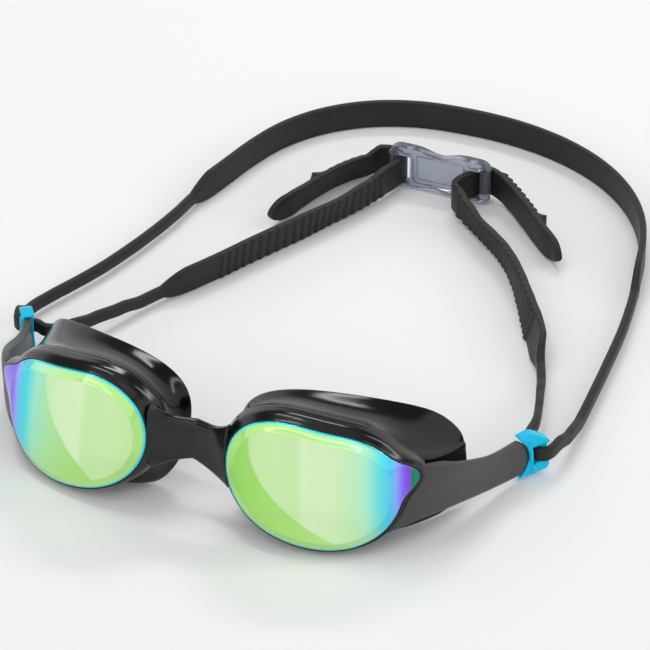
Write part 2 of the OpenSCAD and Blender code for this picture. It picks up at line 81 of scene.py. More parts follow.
# %% Camera
CAMERA_TURN = math.radians(23.773)
CAMERA_RISE = math.radians(33.589)
CAMERA_ROLL = math.radians(0.119)
CAMERA_AWAY = 949.206
CAMERA_ACROSS, CAMERA_UP = 40.642, 38.378
AIM_Z = 21.9             # height of the point the camera turns about
CAMERA_LENS, SENSOR = 182.77, 36
back = Vector((math.sin(CAMERA_TURN) * math.cos(CAMERA_RISE),
               -math.cos(CAMERA_TURN) * math.cos(CAMERA_RISE), math.sin(CAMERA_RISE)))
right = Vector((math.cos(CAMERA_TURN), math.sin(CAMERA_TURN), 0))
up = back.cross(right)
eye = back * CAMERA_AWAY + right * CAMERA_ACROSS + up * CAMERA_UP
camera_data = bpy.data.cameras.new("Camera")
camera_data.lens, camera_data.sensor_width = CAMERA_LENS, SENSOR
camera_data.clip_start, camera_data.clip_end = 0.05, 20
camera = bpy.data.objects.new("Camera", camera_data)
bpy.context.collection.objects.link(camera)
x_axis = right * math.cos(CAMERA_ROLL) - up * math.sin(CAMERA_ROLL)
y_axis = right * math.sin(CAMERA_ROLL) + up * math.cos(CAMERA_ROLL)
turned = Matrix((x_axis, y_axis, back)).transposed().to_4x4()
camera.matrix_world = Matrix.Translation(place(eye.x, eye.y, eye.z + AIM_Z)) @ turned
bpy.context.scene.camera = camera
bpy.context.scene.view_settings.view_transform = "Standard"
print("camera at", [round(c, 3) for c in camera.location])

# %% [markdown]
# ## Surface effects
# Moulded rubber and plastic are never one flat tone. Two effects serve all of them: a
# fine moulded grain, and the faint pale dust and handling marks that dark rubber picks
# up. They could be built again in each material. Here one node group holds both, and its
# inputs let every finish set its own amounts.

# %% Node group helpers


def new_group(name, inputs, outputs):
    group = bpy.data.node_groups.new(name, "ShaderNodeTree")
    for label, kind, value in inputs:
        socket = group.interface.new_socket(label, in_out="INPUT", socket_type=kind)
        socket.default_value = value
    for label, kind in outputs:
        group.interface.new_socket(label, in_out="OUTPUT", socket_type=kind)
    return group, group.nodes.new("NodeGroupInput"), group.nodes.new("NodeGroupOutput")


def math_node(tree, operation, a, b, clamp=False):
    node = tree.nodes.new("ShaderNodeMath")
    node.operation, node.use_clamp = operation, clamp
    for socket, value in zip(node.inputs, (a, b)):
        if isinstance(value, (int, float)):
            socket.default_value = value
        else:
            tree.links.new(value, socket)
    return node.outputs[0]


def plus(tree, a, b, clamp=False):
    return math_node(tree, "ADD", a, b, clamp)


def minus(tree, a, b):
    return math_node(tree, "SUBTRACT", a, b)


def times(tree, a, b, clamp=False):
    return math_node(tree, "MULTIPLY", a, b, clamp)


def past(tree, value, level, sharpness):
    """Goes from 0 to 1 as a value passes a level."""
    return times(tree, minus(tree, value, level), sharpness, clamp=True)


def blend_colour(tree, factor, a, b):
    node = tree.nodes.new("ShaderNodeMix")
    node.data_type = "RGBA"
    tree.links.new(factor, node.inputs["Factor"])
    for socket, value in ((node.inputs[6], a), (node.inputs[7], b)):
        if isinstance(value, bpy.types.NodeSocket):
            tree.links.new(value, socket)
        else:
            socket.default_value = (*value, 1)
    return node.outputs[2]


def noise(tree, scale, detail=3.0, roughness=0.5):
    node = tree.nodes.new("ShaderNodeTexNoise")
    coordinates = tree.nodes.new("ShaderNodeTexCoord")
    tree.links.new(coordinates.outputs["Object"], node.inputs["Vector"])
    if isinstance(scale, (int, float)):
        node.inputs["Scale"].default_value = scale
    else:
        tree.links.new(scale, node.inputs["Scale"])
    node.inputs["Detail"].default_value = detail
    node.inputs["Roughness"].default_value = roughness
    return node.outputs["Fac"]


COLOUR, NUMBER = "NodeSocketColor", "NodeSocketFloat"
print("node helpers ready")

# %% Moulded surface group
TONE_SCALE, SPECK_SCALE, PATCH_SCALE = 60.0, 900.0, 35.0     # noise features in a metre
SPECK_LEVEL, SPECK_SHARP = 0.66, 9.0     # dust is the peaks of a fine noise,
PATCH_LEVEL, PATCH_SHARP = 0.42, 3.0     # kept to wide patches
ROUGH_SWING, DUST_ROUGH = 0.12, 0.3      # how far tone and dust change the roughness
moulded, g_in, g_out = new_group("Moulded surface", [
    ("Colour", COLOUR, (0.1, 0.1, 0.1, 1)), ("Roughness", NUMBER, 0.4),
    ("Grain scale", NUMBER, 2500.0), ("Tone change", NUMBER, 0.1),
    ("Dust", NUMBER, 0.0), ("Dust colour", COLOUR, (0.25, 0.25, 0.24, 1))],
    [("Colour", COLOUR), ("Roughness", NUMBER), ("Height", NUMBER)])
grain = noise(moulded, g_in.outputs["Grain scale"], 4.0, 0.6)
cloud = minus(moulded, noise(moulded, TONE_SCALE, 3.0), 0.5)
scaled = moulded.nodes.new("ShaderNodeVectorMath")
scaled.operation = "SCALE"
moulded.links.new(g_in.outputs["Colour"], scaled.inputs[0])
moulded.links.new(plus(moulded, times(moulded, cloud, g_in.outputs["Tone change"]), 1.0),
                  scaled.inputs["Scale"])
speck_mask = past(moulded, noise(moulded, SPECK_SCALE, 2.0, 0.7), SPECK_LEVEL, SPECK_SHARP)
patches = past(moulded, noise(moulded, PATCH_SCALE), PATCH_LEVEL, PATCH_SHARP)
dust_mask = times(moulded, times(moulded, speck_mask, patches), g_in.outputs["Dust"], clamp=True)
dusty = blend_colour(moulded, dust_mask, scaled.outputs[0], g_in.outputs["Dust colour"])
toned = plus(moulded, g_in.outputs["Roughness"], times(moulded, cloud, ROUGH_SWING))
dusty_rough = plus(moulded, toned, times(moulded, dust_mask, DUST_ROUGH), clamp=True)
moulded.links.new(dusty, g_out.inputs["Colour"])
moulded.links.new(dusty_rough, g_out.inputs["Roughness"])
moulded.links.new(grain, g_out.inputs["Height"])
print("group:", moulded.name)

# %% [markdown]
# Each finish is a Principled shader fed by that group. The glossy rubber of the frame has
# a low roughness and almost no grain, and the strap's rubber is duller, grainier and
# dustier. Grain depths are millimetres, and the gloss is set on the shader itself.

# %% Finishes from the group


def new_material(name):
    material = bpy.data.materials.new(name)
    material.use_nodes = True
    return material, material.node_tree, material.node_tree.nodes["Principled BSDF"]


def use_group(tree, group, **values):
    node = tree.nodes.new("ShaderNodeGroup")
    node.node_tree = group
    for label, value in values.items():
        node.inputs[label.replace("_", " ")].default_value = value
    return node


def surfaced(name, colour, roughness, grain_scale, tone_change, dust=0.0):
    """A material with its colour and roughness from the moulded surface group."""
    material, tree, shader = new_material(name)
    surface = use_group(tree, moulded, Colour=(*colour, 1), Roughness=roughness,
                        Grain_scale=grain_scale, Tone_change=tone_change, Dust=dust)
    tree.links.new(surface.outputs["Colour"], shader.inputs["Base Color"])
    tree.links.new(surface.outputs["Roughness"], shader.inputs["Roughness"])
    return material, tree, shader, surface


def moulding(name, colour, roughness, gloss, grain_scale, grain_depth, tone_change, dust):
    material, tree, shader, surface = surfaced(name, colour, roughness, grain_scale,
                                               tone_change, dust)
    bump = tree.nodes.new("ShaderNodeBump")
    bump.inputs["Strength"].default_value = 1.0
    bump.inputs["Distance"].default_value = grain_depth * MM
    tree.links.new(surface.outputs["Height"], bump.inputs["Height"])
    tree.links.new(bump.outputs["Normal"], shader.inputs["Normal"])
    shader.inputs["Specular IOR Level"].default_value = gloss
    return material


# name, colour, roughness, gloss, grains in a metre, grain depth, tone change, dust
black_rubber, gasket_rubber, arm_plastic, clip_plastic, strap_rubber = (
    moulding(*values) for values in (
        ("Glossy black rubber", (0.004, 0.004, 0.004), 0.16, 0.42, 1800, 0.002, 0.5, 0.15),
        ("Satin black silicone", (0.004, 0.004, 0.004), 0.15, 0.26, 1500, 0.002, 0.5, 0.15),
        ("Matt grey plastic", (0.038, 0.039, 0.038), 0.42, 0.5, 2200, 0.010, 0.25, 0.15),
        ("Bright blue plastic", (0.0, 0.52, 0.80), 0.3, 0.22, 1600, 0.004, 0.1, 0.0),
        ("Matt black strap rubber", (0.014, 0.015, 0.013), 0.5, 0.3, 1700, 0.012, 0.4, 0.4)))
print("finishes:", [m.name for m in bpy.data.materials])

# %% [markdown]
# ## Mesh helpers
# Nearly every piece is a loft: rings of points joined by quads. Key rings are set where
# the real shape turns, and a spline fills in the rings between them, so a moulded edge
# comes out round. A ring list that closes on itself makes a hoop such as the rim.

# %% Lofts


def make_object(name, vertices, faces, material):
    mesh = bpy.data.meshes.new(name)
    mesh.from_pydata([Vector(v) * MM for v in vertices], [], faces)
    work = bmesh.new()
    work.from_mesh(mesh)
    bmesh.ops.recalc_face_normals(work, faces=work.faces)
    work.to_mesh(mesh)
    work.free()
    mesh.shade_smooth()
    mesh.materials.append(material)
    piece = bpy.data.objects.new(name, mesh)
    bpy.context.collection.objects.link(piece)
    return piece


def spline_rings(keys, steps):
    """Catmull-Rom rings round a closed list of key rings, steps from each to the next."""
    rings = []
    for i in range(len(keys)):
        a, b, c, d = (keys[(i + j) % len(keys)] for j in (-1, 0, 1, 2))
        for t in (s / steps for s in range(steps)):
            rings.append([0.5 * (2 * q + (r - p) * t + (2 * p - 5 * q + 4 * r - w) * t * t
                                 + (3 * q - p - 3 * r + w) * t ** 3)
                          for p, q, r, w in zip(a, b, c, d)])
    return rings


def loft(rings, loop=False):
    """Vertices and faces of quads between rings. A loft that is no hoop gets closed ends."""
    around, count = len(rings[0]), len(rings)
    vertices = [v for ring in rings for v in ring]
    faces = []
    for i in range(count if loop else count - 1):
        a, b = i * around, (i + 1) % count * around
        faces += [(a + j, a + (j + 1) % around, b + (j + 1) % around, b + j)
                  for j in range(around)]
    for start in () if loop else (0, (count - 1) * around):
        centre = sum((vertices[start + j] for j in range(around)), Vector()) / around
        vertices.append(centre)
        faces += [(start + j, start + (j + 1) % around, len(vertices) - 1)
                  for j in range(around)]
    return vertices, faces


print("loft helpers ready")

# %% [markdown]
# ## The lens surface
# Lens, rim and gasket follow one curved surface, bent a lot sideways and a little up and
# down. A point on it is given by how far it is across, up and in front of the lens's
# border. The outline is an oval with a drawn-out tip towards the temple. It is written as
# a radius at each angle, so that a neighbour is the same curve grown by a gap. Angles run
# from the temple up over the top.

# %% Eye geometry
LENS_R, LENS_OVAL, LENS_SLANT = 23.0, 3.6, 1.5
LENS_SHOULDER, SHOULDER_TURN = 0.5, 54
LENS_TIP, TIP_ANGLE, TIP_SPREAD = 5.8, 6.0, 9.5
LENS_T, BEVEL_W, BEVEL_H = 2.2, 3.2, 1.0
BEND_R, BEND_V = 56.0, 168.0             # bend sideways, and up and down
EYE_X, EYE_Z = 39.2, 22.1
WRAP, LEAN, PITCH = math.radians(12.7), math.radians(15.4), math.radians(8.0)
ACROSS = Vector((math.cos(WRAP), math.sin(WRAP), 0))
OUT = Vector((math.sin(WRAP) * math.cos(LEAN), -math.cos(WRAP) * math.cos(LEAN), math.sin(LEAN)))
RISE = OUT.cross(ACROSS)
AROUND = 180
ANGLES = [360 * k / AROUND for k in range(AROUND)]
LEFT, RIGHT = 1, -1      # the wearer's sides


def cosd(t):
    return math.cos(math.radians(t))


def sind(t):
    return math.sin(math.radians(t))


def away(t, centre):
    return (t - centre + 540) % 360 - 180


def bump(t, centre, spread):
    return math.exp(-(away(t, centre) / spread) ** 2)


def edge_r(t, grow=0.0, tip=1.0):
    """The outline's radius at an angle, grown by a gap, with a share of the tip."""
    return (LENS_R + grow + LENS_OVAL * cosd(2 * t) - LENS_SLANT * sind(2 * t)
            + LENS_SHOULDER * cosd(3 * t - SHOULDER_TURN)
            + LENS_TIP * tip * tip * bump(t, TIP_ANGLE, TIP_SPREAD))


def eye_point(u, v, n):
    """A point u across, v up and n in front of the lens's border."""
    turn = u / BEND_R
    drop = BEND_R * (1 - math.cos(turn)) + v * v / (2 * BEND_V)
    p = Vector((EYE_X, 0, 0)) + BEND_R * math.sin(turn) * ACROSS + v * RISE + (n - drop) * OUT
    return Vector((p.x, p.y * math.cos(PITCH) - p.z * math.sin(PITCH) - MID_Y,
                   EYE_Z + p.y * math.sin(PITCH) + p.z * math.cos(PITCH)))


def edge_point(t, grow, n, tip=1.0):
    r = edge_r(t, grow, tip)
    return eye_point(r * cosd(t), r * sind(t), n)


def mirrored(points, side):
    return [Vector((side * p.x, p.y, p.z)) for p in points]


print("lens tip at", [round(c, 1) for c in edge_point(TIP_ANGLE, 0, 0)])

# %% [markdown]
# ## Lenses
# A lens is a moulded shell with a raised middle and a bevelled border. Its mirror
# coating is a stack of thin films: the colour runs from green through cyan to violet as
# the films are crossed at a lower angle, so it changes across the lens and again in the
# bevel. The two UV maps keep those two places: across and up, and how far out. A plain
# smoke tint covers the inner face, as the coating is on the outside only.

# %% Lens meshes
lens_inside = surfaced("Smoke tint behind the mirror", (0.022, 0.034, 0.030),
                       roughness=0.08, grain_scale=900.0, tone_change=0.15)[0]
PLATFORM_TIP = 0.35      # share of the drawn-out tip that the raised middle keeps
PLATFORM_SHARES = [0.02, 0.12, 0.25, 0.4, 0.55, 0.7, 0.82, 0.92]     # of the way to its edge
BEVEL = [                # how far out from the border, height, share of the tip
    (-BEVEL_W, BEVEL_H, PLATFORM_TIP), (-BEVEL_W + 0.25, 0.97, 0.42), (-BEVEL_W + 0.6, 0.82, 0.5),
    (-2.0, 0.52, 0.68), (-1.1, 0.24, 0.86), (-0.4, 0.04, 0.97), (-0.12, -0.06, 1.0),
    (0, -0.25, 1.0), (0, -LENS_T + 0.2, 1.0)]
BACK_EDGE = [(-0.2, -LENS_T, 1.0), (-BEVEL_W, BEVEL_H - LENS_T, PLATFORM_TIP)]
PLACE_SPAN = 100.0       # millimetres across the place map


def lens_rings():
    """Rings from the front's middle round to the back's, and how far out each one is."""
    edge = [edge_r(t, -BEVEL_W, PLATFORM_TIP) for t in ANGLES]

    def middle(share, n):
        return [eye_point(share * r * cosd(t), share * r * sind(t), n)
                for t, r in zip(ANGLES, edge)]
    rings = [middle(share, BEVEL_H) for share in PLATFORM_SHARES]
    rings += [[edge_point(t, grow, n, tip) for t in ANGLES] for grow, n, tip in BEVEL + BACK_EDGE]
    rings += [middle(share, BEVEL_H - LENS_T) for share in reversed(PLATFORM_SHARES)]
    flat_out = [0.0] * len(PLATFORM_SHARES)
    bevel_out = [(grow + BEVEL_W) / BEVEL_W for grow, _, _ in BEVEL]
    return rings, flat_out + bevel_out + [1.0] * len(BACK_EDGE) + flat_out


def make_lens(side, name, material):
    rings, out = lens_rings()
    places = [p for ring in rings for p in ring]
    vertices, faces = loft([mirrored(r, side) for r in rings])
    piece = make_object(name, vertices, faces, material)
    centre = eye_point(0, 0, 0)
    tilt_out = Matrix.Rotation(PITCH, 3, "X") @ OUT
    tilt_across = Matrix.Rotation(PITCH, 3, "X") @ ACROSS
    tilt_rise = tilt_out.cross(tilt_across)
    coordinates = []
    for i, p in enumerate(places):
        q = p - centre
        u = BEND_R * math.asin(max(-1, min(1, q.dot(tilt_across) / BEND_R)))
        coordinates.append((u / PLACE_SPAN + 0.5, q.dot(tilt_rise) / PLACE_SPAN + 0.5,
                            out[i // AROUND]))
    coordinates += [(0.5, 0.5, 0.0)] * (len(vertices) - len(places))
    place_uv = piece.data.uv_layers.new(name="Place")
    edge_uv = piece.data.uv_layers.new(name="Edge")
    for corner in piece.data.loops:
        u, v, e = coordinates[corner.vertex_index]
        place_uv.data[corner.index].uv = (u, v)
        edge_uv.data[corner.index].uv = (e, 0.0)
    piece.data.materials.append(lens_inside)
    back_start = (len(PLATFORM_SHARES) + len(BEVEL)) * AROUND
    for face in piece.data.polygons:
        if min(face.vertices) >= back_start and max(face.vertices) != len(places):
            face.material_index = 1
    return piece


print("lens rings:", len(lens_rings()[0]))

# %% [markdown]
# The coating group turns a place into a colour. The colour runs from green through cyan
# to violet towards the temple. A paler part is a painted reflection of a softbox on the
# lens, and it ends at a clear bent edge. The bevel is yellower and ends in cyan.

# %% Mirror coating and painted reflection group
# Besides the film colours, this group paints a pale reflection of a softbox on the lens.
coating, g_in, g_out = new_group("Mirror coating and painted reflection", [
    ("Across", NUMBER, 0.5), ("Up", NUMBER, 0.5), ("Edge", NUMBER, 0.0), ("Shift", NUMBER, 0.0),
    ("Last", NUMBER, 1.0), ("Haze side", NUMBER, 1.0), ("Haze from", NUMBER, 0.0),
    ("Haze slope", NUMBER, 0.0), ("Haze bend", NUMBER, 0.0)], [("Colour", COLOUR)])
FILM_STOPS = [  # place across the lens, colour
    (0.24, (0.30, 0.70, 0.10)), (0.36, (0.38, 0.76, 0.16)), (0.50, (0.42, 0.79, 0.24)),
    (0.60, (0.44, 0.84, 0.40)), (0.66, (0.34, 0.86, 0.66)), (0.70, (0.03, 0.76, 0.82)),
    (0.735, (0.06, 0.60, 0.92)), (0.752, (0.26, 0.42, 0.98)), (0.772, (0.24, 0.12, 0.94)),
    (0.79, (0.20, 0.06, 0.80)), (0.795, (0.12, 0.14, 0.20)), (0.80, (0.0, 0.18, 0.12)),
    (0.815, (0.0, 0.24, 0.14)), (0.822, (0.02, 0.10, 0.34)), (0.84, (0.30, 0.05, 0.30))]
PAINTED_REFLECTION_STOPS = [  # place across the lens, how strong the painted reflection is
    (0.24, 0.5), (0.40, 0.62), (0.465, 0.56), (0.485, 0.88), (0.56, 0.80), (0.62, 0.5),
    (0.68, 0.22), (0.75, 0.0)]
# the painted softbox reflection: its pale colour, and how sharp its edge is
PAINTED_REFLECTION_COLOUR, PAINTED_REFLECTION_SHARP = (0.76, 0.93, 0.60), 110.0
LOW_COLOUR, LOW_FROM, LOW_SHARP, LOW_SHARE = (0.58, 0.84, 0.22), -0.03, 5.0, 0.55
NOSE_SIDE, NOSE_SHARP = 0.73, 14.0       # past this place the yellows stop
BEVEL_COLOUR, BEVEL_SHARP, BEVEL_SHARE = (0.60, 0.90, 0.40), 8.0, 0.4
LINE_COLOUR, LINE_FROM, LINE_SHARP = (0.03, 0.70, 0.76), 0.74, 6.0   # the cyan edge line


def ramp(tree, factor, stops):
    node = tree.nodes.new("ShaderNodeValToRGB")
    tree.links.new(factor, node.inputs[0])
    elements = node.color_ramp.elements
    while len(elements) < len(stops):
        elements.new(0.5)
    for element, (position, colour) in zip(elements, stops):
        element.position = position
        element.color = (*colour, 1)
    return node.outputs[0]


across, up_lens, edge_place = (g_in.outputs[label] for label in ("Across", "Up", "Edge"))
shifted = math_node(coating, "MINIMUM", plus(coating, across, g_in.outputs["Shift"]),
                    g_in.outputs["Last"])
film = ramp(coating, shifted, FILM_STOPS)
# painted reflection of a softbox: a pale patch on one side of a bent edge, kept off the bevel
height = minus(coating, up_lens, 0.5)
bent = times(coating, times(coating, height, height), g_in.outputs["Haze bend"])
sloped = plus(coating, bent, times(coating, height, g_in.outputs["Haze slope"]))
beyond = times(coating, minus(coating, across, plus(coating, g_in.outputs["Haze from"], sloped)),
               g_in.outputs["Haze side"])
bevel = times(coating, edge_place, BEVEL_SHARP, clamp=True)
painted_reflection_level = ramp(coating, shifted, [(p, (q, q, q)) for p, q in PAINTED_REFLECTION_STOPS])
painted_reflection = times(coating, times(coating, beyond, PAINTED_REFLECTION_SHARP, clamp=True),
             times(coating, minus(coating, 1.0, bevel), painted_reflection_level))
low = times(coating, past(coating, LOW_FROM, height, LOW_SHARP), LOW_SHARE)
towards_nose = past(coating, NOSE_SIDE, shifted, NOSE_SHARP)
cyan_line = past(coating, edge_place, LINE_FROM, LINE_SHARP)
colour = film
for mask, tint in ((times(coating, low, towards_nose), LOW_COLOUR), (painted_reflection, PAINTED_REFLECTION_COLOUR),
                   (times(coating, times(coating, bevel, BEVEL_SHARE), towards_nose), BEVEL_COLOUR),
                   (times(coating, cyan_line, towards_nose), LINE_COLOUR)):
    colour = blend_colour(coating, mask, colour, tint)
coating.links.new(colour, g_out.inputs["Colour"])
print("group:", coating.name)

# %% [markdown]
# A mirror coating is a metal-like film under a clear hard coat, so the shader is mostly
# metallic with a thin coat. The lenses face two ways, so each has its own place for the
# edge of its painted softbox reflection and its own shift of the colours.

# %% Lens material and lenses


def lens_material(name, shift, last, side, start, slope, bend):
    material, tree, shader = new_material(name)
    # side, start, slope and bend place the edge of the painted softbox reflection
    film = use_group(tree, coating, Shift=shift, Last=last, Haze_side=side, Haze_from=start,
                     Haze_slope=slope, Haze_bend=bend)
    for map_name, targets in (("Place", ("Across", "Up")), ("Edge", ("Edge",))):
        uv = tree.nodes.new("ShaderNodeUVMap")
        uv.uv_map = map_name
        split = tree.nodes.new("ShaderNodeSeparateXYZ")
        tree.links.new(uv.outputs[0], split.inputs[0])
        for i, target in enumerate(targets):
            tree.links.new(split.outputs[i], film.inputs[target])
    tree.links.new(film.outputs["Colour"], shader.inputs["Base Color"])
    shader.inputs["Metallic"].default_value = 0.6
    shader.inputs["Roughness"].default_value = 0.07
    shader.inputs["Coat Weight"].default_value = 0.3
    shader.inputs["Coat Roughness"].default_value = 0.03
    return material


LENSES = [               # colour shift, last place, and the painted reflection's side, start, slope and bend
    ("LensLeft", "lens_left", LEFT, (0.0, 1.0, 1, 0.3566, -0.721, 3.06)),
    ("LensRight", "lens_right", RIGHT, (0.045, 0.782, -1, 0.5277, 0.689, -2.313))]
for name, node, side, film_values in LENSES:
    piece = make_lens(side, name, lens_material(name + " coating", *film_values))
    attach(piece, "goggles")
    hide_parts(node)
print("lenses made")

# %% [markdown]
# ## Frame
# The two rims and the nose bridge are one soft moulding. A rim is a hoop: its section is
# given at each angle round the lens, from the lip that frames the lens to the ledge that
# carries it, and the section widens towards the top and the temple.

# %% Rims
# the lip's width, the rim's depth and spread, the ledge's width, the gap between pieces
LIP_W, RIM_DEPTH, RIM_SPREAD, LEDGE_W, FIT = 0.7, 6.5, 1.6, 1.8, 0.12
RIM_OUT = LIP_W + RIM_SPREAD
RIM_THINNER, LIP_WIDER = 1.1, 0.6        # the rim below the lens, the lip by the arm
ARM_MIDDLE, ARM_SPREAD = -14, 34         # where the arm's root lies round the lens


def shoulder(t):
    """1 where the arm joins the rim, 0 elsewhere."""
    return math.exp(-(away(t, ARM_MIDDLE) / ARM_SPREAD) ** 4)


def rim_edge(t):
    return lerp(RIM_OUT - RIM_THINNER * max(0, -sind(t)), RIM_OUT, shoulder(t))


def lip_edge(t):
    return lerp(LIP_W, LIP_W + LIP_WIDER, shoulder(t))


def ring_of(function):
    return [function(t) for t in ANGLES]


def rim_rings():
    back_n = -LENS_T - FIT
    section = [          # how far out from the lens's border, height, share of the tip
        (lambda t: FIT, -0.45, 1.0), (lambda t: FIT + 0.15, -0.22, 1.0),
        (lambda t: lip_edge(t) - 0.3, -0.3, 1.0), (lip_edge, -0.75, 1.0),
        (lambda t: rim_edge(t) - 0.4, -2.4, 1.0), (lambda t: rim_edge(t) - 0.1, -4.6, 0.92),
        (rim_edge, -RIM_DEPTH + 0.6, 0.85), (lambda t: rim_edge(t) - 0.5, -RIM_DEPTH, 0.85),
        (lambda t: -LEDGE_W + 0.3, -RIM_DEPTH, 0.7), (lambda t: -LEDGE_W, -RIM_DEPTH + 0.4, 0.7),
        (lambda t: -LEDGE_W, back_n - 0.3, 0.85), (lambda t: -LEDGE_W + 0.3, back_n, 0.85),
        (lambda t: FIT, back_n, 1.0)]
    return [ring_of(lambda t, row=row: edge_point(t, row[0](t), *row[1:])) for row in section]


print("rim sections:", len(rim_rings()))

# %% [markdown]
# The bridge is a loft between the rims. Its sections flare as they reach them, which
# leaves the soft fillets of a moulding, and two shallow grooves run along its shoulders.
# A voxel remesh could fuse rim and bridge, but it roughens the thin lips.

# %% Bridge
BRIDGE_H, BRIDGE_T, BRIDGE_LEAN, BRIDGE_BACK, BRIDGE_RISE = 11.5, 3.4, 0.25, 7.9, 1.5
BRIDGE_SECTIONS, BRIDGE_CURVE = 61, 1.2
ROOT_TOP, ROOT_LOW, ROOT_DEPTH = 158, 193, -3.2      # where it meets the rim
ROOT_SHORT, ROOT_INSIDE = 0.4, 0.3
FLARE_FROM, FLARE_CURVE = 0.3, 2.2
FLARE_BACK, FLARE_TOP, FLARE_LOW = 0.9, 3.6, 0.8
GROOVE, GROOVE_AT, GROOVE_W = 0.28, (66, 114), 5


def squared(c):
    return math.copysign(abs(c) ** 0.6, c)


def bridge_rings():
    """Sections from rim to rim. Near each rim they flare, as a moulded fillet does."""
    top, low = (edge_point(t, RIM_OUT, ROOT_DEPTH) for t in (ROOT_TOP, ROOT_LOW))
    end = (top + low) / 2 + Vector((ROOT_SHORT, 0, 0))
    tall = (top - low).length
    middle = Vector((0, BRIDGE_BACK - MID_Y, end.z + BRIDGE_RISE))
    rings = []
    for i in range(BRIDGE_SECTIONS):
        s = i / (BRIDGE_SECTIONS - 1) * 2 - 1
        f = abs(s) ** BRIDGE_CURVE
        flare = max(0.0, (abs(s) - FLARE_FROM) / (1 - FLARE_FROM)) ** FLARE_CURVE
        h = lerp(BRIDGE_H, tall, f) / 2
        t = BRIDGE_T / 2 + FLARE_BACK * flare
        mid = middle.lerp(end, f)
        ring = []
        for a in range(0, 360, 6):
            groove = GROOVE * sum(bump(a, at, GROOVE_W) for at in GROOVE_AT)
            spread = (FLARE_TOP if a < 180 else FLARE_LOW) * flare - groove
            y = (t - groove) * squared(cosd(a)) + BRIDGE_LEAN * (1 - f) * h * squared(sind(a))
            ring.append(Vector((s * (end.x + ROOT_INSIDE), mid.y + y,
                                mid.z + (h + spread) * squared(sind(a)))))
        rings.append(ring)
    return rings


def join(name, parts, material):
    vertices, faces = [], []
    for part_vertices, part_faces in parts:
        faces += [tuple(i + len(vertices) for i in face) for face in part_faces]
        vertices += part_vertices
    return make_object(name, vertices, faces, material)


rims = [loft([mirrored(r, side) for r in spline_rings(rim_rings(), 3)], loop=True)
        for side in (LEFT, RIGHT)]
for piece in (join("Rims", rims, black_rubber),
              make_object("Bridge", *loft(bridge_rings()), black_rubber)):
    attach(piece, "goggles")
    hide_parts("frame")
    print(piece.name, "faces:", len(piece.data.polygons))

# %% [markdown]
# ## Gaskets
# A gasket is a thin silicone cup. It starts inside the rim, flares out to a rolled lip
# that seals on the face, and comes back on the inside one wall thickness away. The lip's
# outline is a squarish oval. It is pressed in and down at the temple, and below it dips
# to two feet that rest on the table. Flare and lip are one hoop of splined rings, so no
# seam shows. A thickened sheet would be quicker, but its lip would not be rolled.

# %% Gaskets
# the lip's half width and height and its middle, the cup's depth and slope, the wall
SEAL_W, SEAL_H, SEAL_SHIFT, SEAL_DEPTH, SEAL_SLOPE, SEAL_T = 36.4, 18.9, 9.0, 22.0, 3.0, 1.4
SEAL_DROP, SEAL_TILT, SEAL_SQUARE, SEAL_FLAT = 0.6, 6.5, 0.95, 0.4
SEAL_FORE = 5.0          # how much less deep it is below
SEAL_HOLLOW = 1.5        # how far the flare is drawn in between rim and lip
SEAL_FRONT = -RIM_DEPTH - FIT
PRESSED_IN = [(1.5, 16, 13), (1.8, 0, 14)]           # how far, where, over how many degrees
PRESSED_DOWN = [(4.5, 26, 20), (2.2, 9, 11), (1.3, -132, 22), (1.3, -40, 20)]
NECK_OUT, NECK_TIP, NECK_DEEP = 1.4, 0.75, 1.5


def seal_power(c, t):
    return math.copysign(abs(c) ** lerp(SEAL_FLAT, SEAL_SQUARE, (1 + sind(t)) / 2), c)


def pressed(t, presses):
    return sum(far * bump(t, centre, spread) for far, centre, spread in presses)


def seal_point(t, f, inward=0.0, deeper=0.0):
    """A point at angle t, a share f of the way from rim to lip."""
    neck = edge_r(t, rim_edge(t) - RIM_OUT + NECK_OUT, NECK_TIP)
    lip_u = SEAL_SHIFT + SEAL_W * seal_power(cosd(t), t) - pressed(t, PRESSED_IN)
    lip_v = (-SEAL_DROP + SEAL_H * seal_power(sind(t), t)
             - SEAL_TILT * cosd(t) * max(0, sind(t)) - pressed(t, PRESSED_DOWN))
    g = lerp(f, 1 - (1 - f) ** 2.5, (1 - sind(t)) / 2)
    u, v = lerp(neck * cosd(t), lip_u, g), lerp(neck * sind(t), lip_v, g)
    depth = SEAL_DEPTH + SEAL_SLOPE * cosd(t - 60) - SEAL_FORE * max(0, -sind(t))
    n = lerp(SEAL_FRONT - NECK_DEEP, -depth, f)
    inward += SEAL_HOLLOW * math.sin(math.pi * f) * (1 + sind(t)) / 2
    kept = 1 - inward / math.hypot(u, v)
    return eye_point(u * kept, v * kept, n - deeper)


SEAL_WALLS = [           # share of the way to the lip, how far in, how much deeper
    (0.0,), (0.15, 0.2), (0.35, 0.3), (0.65, 0.3), (0.92, 0.0), (0.99, 0.1), (1.0, 0.9, 0.3),
    (0.98, 2.2, 0.1), (0.92, 0.4 + 2 * SEAL_T), (0.65, 0.3 + 1.3 * SEAL_T), (0.3, 0.3 + SEAL_T)]


def seal_rings():
    return ([ring_of(lambda t: edge_point(t, rim_edge(t) - 0.3, SEAL_FRONT, 0.8))]
            + [ring_of(lambda t, row=row: seal_point(t, *row)) for row in SEAL_WALLS]
            + [ring_of(lambda t: edge_point(t, -LEDGE_W, SEAL_FRONT - NECK_DEEP, 0.5)),
               ring_of(lambda t: edge_point(t, -LEDGE_W, SEAL_FRONT, 0.6))])


for name, node, side in (("GasketLeft", "gasket_left", LEFT),
                         ("GasketRight", "gasket_right", RIGHT)):
    rings = [mirrored(r, side) for r in spline_rings(seal_rings(), 4)]
    piece = make_object(name, *loft(rings, loop=True), gasket_rubber)
    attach(piece, "goggles")
    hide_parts(node)
print("gaskets made")

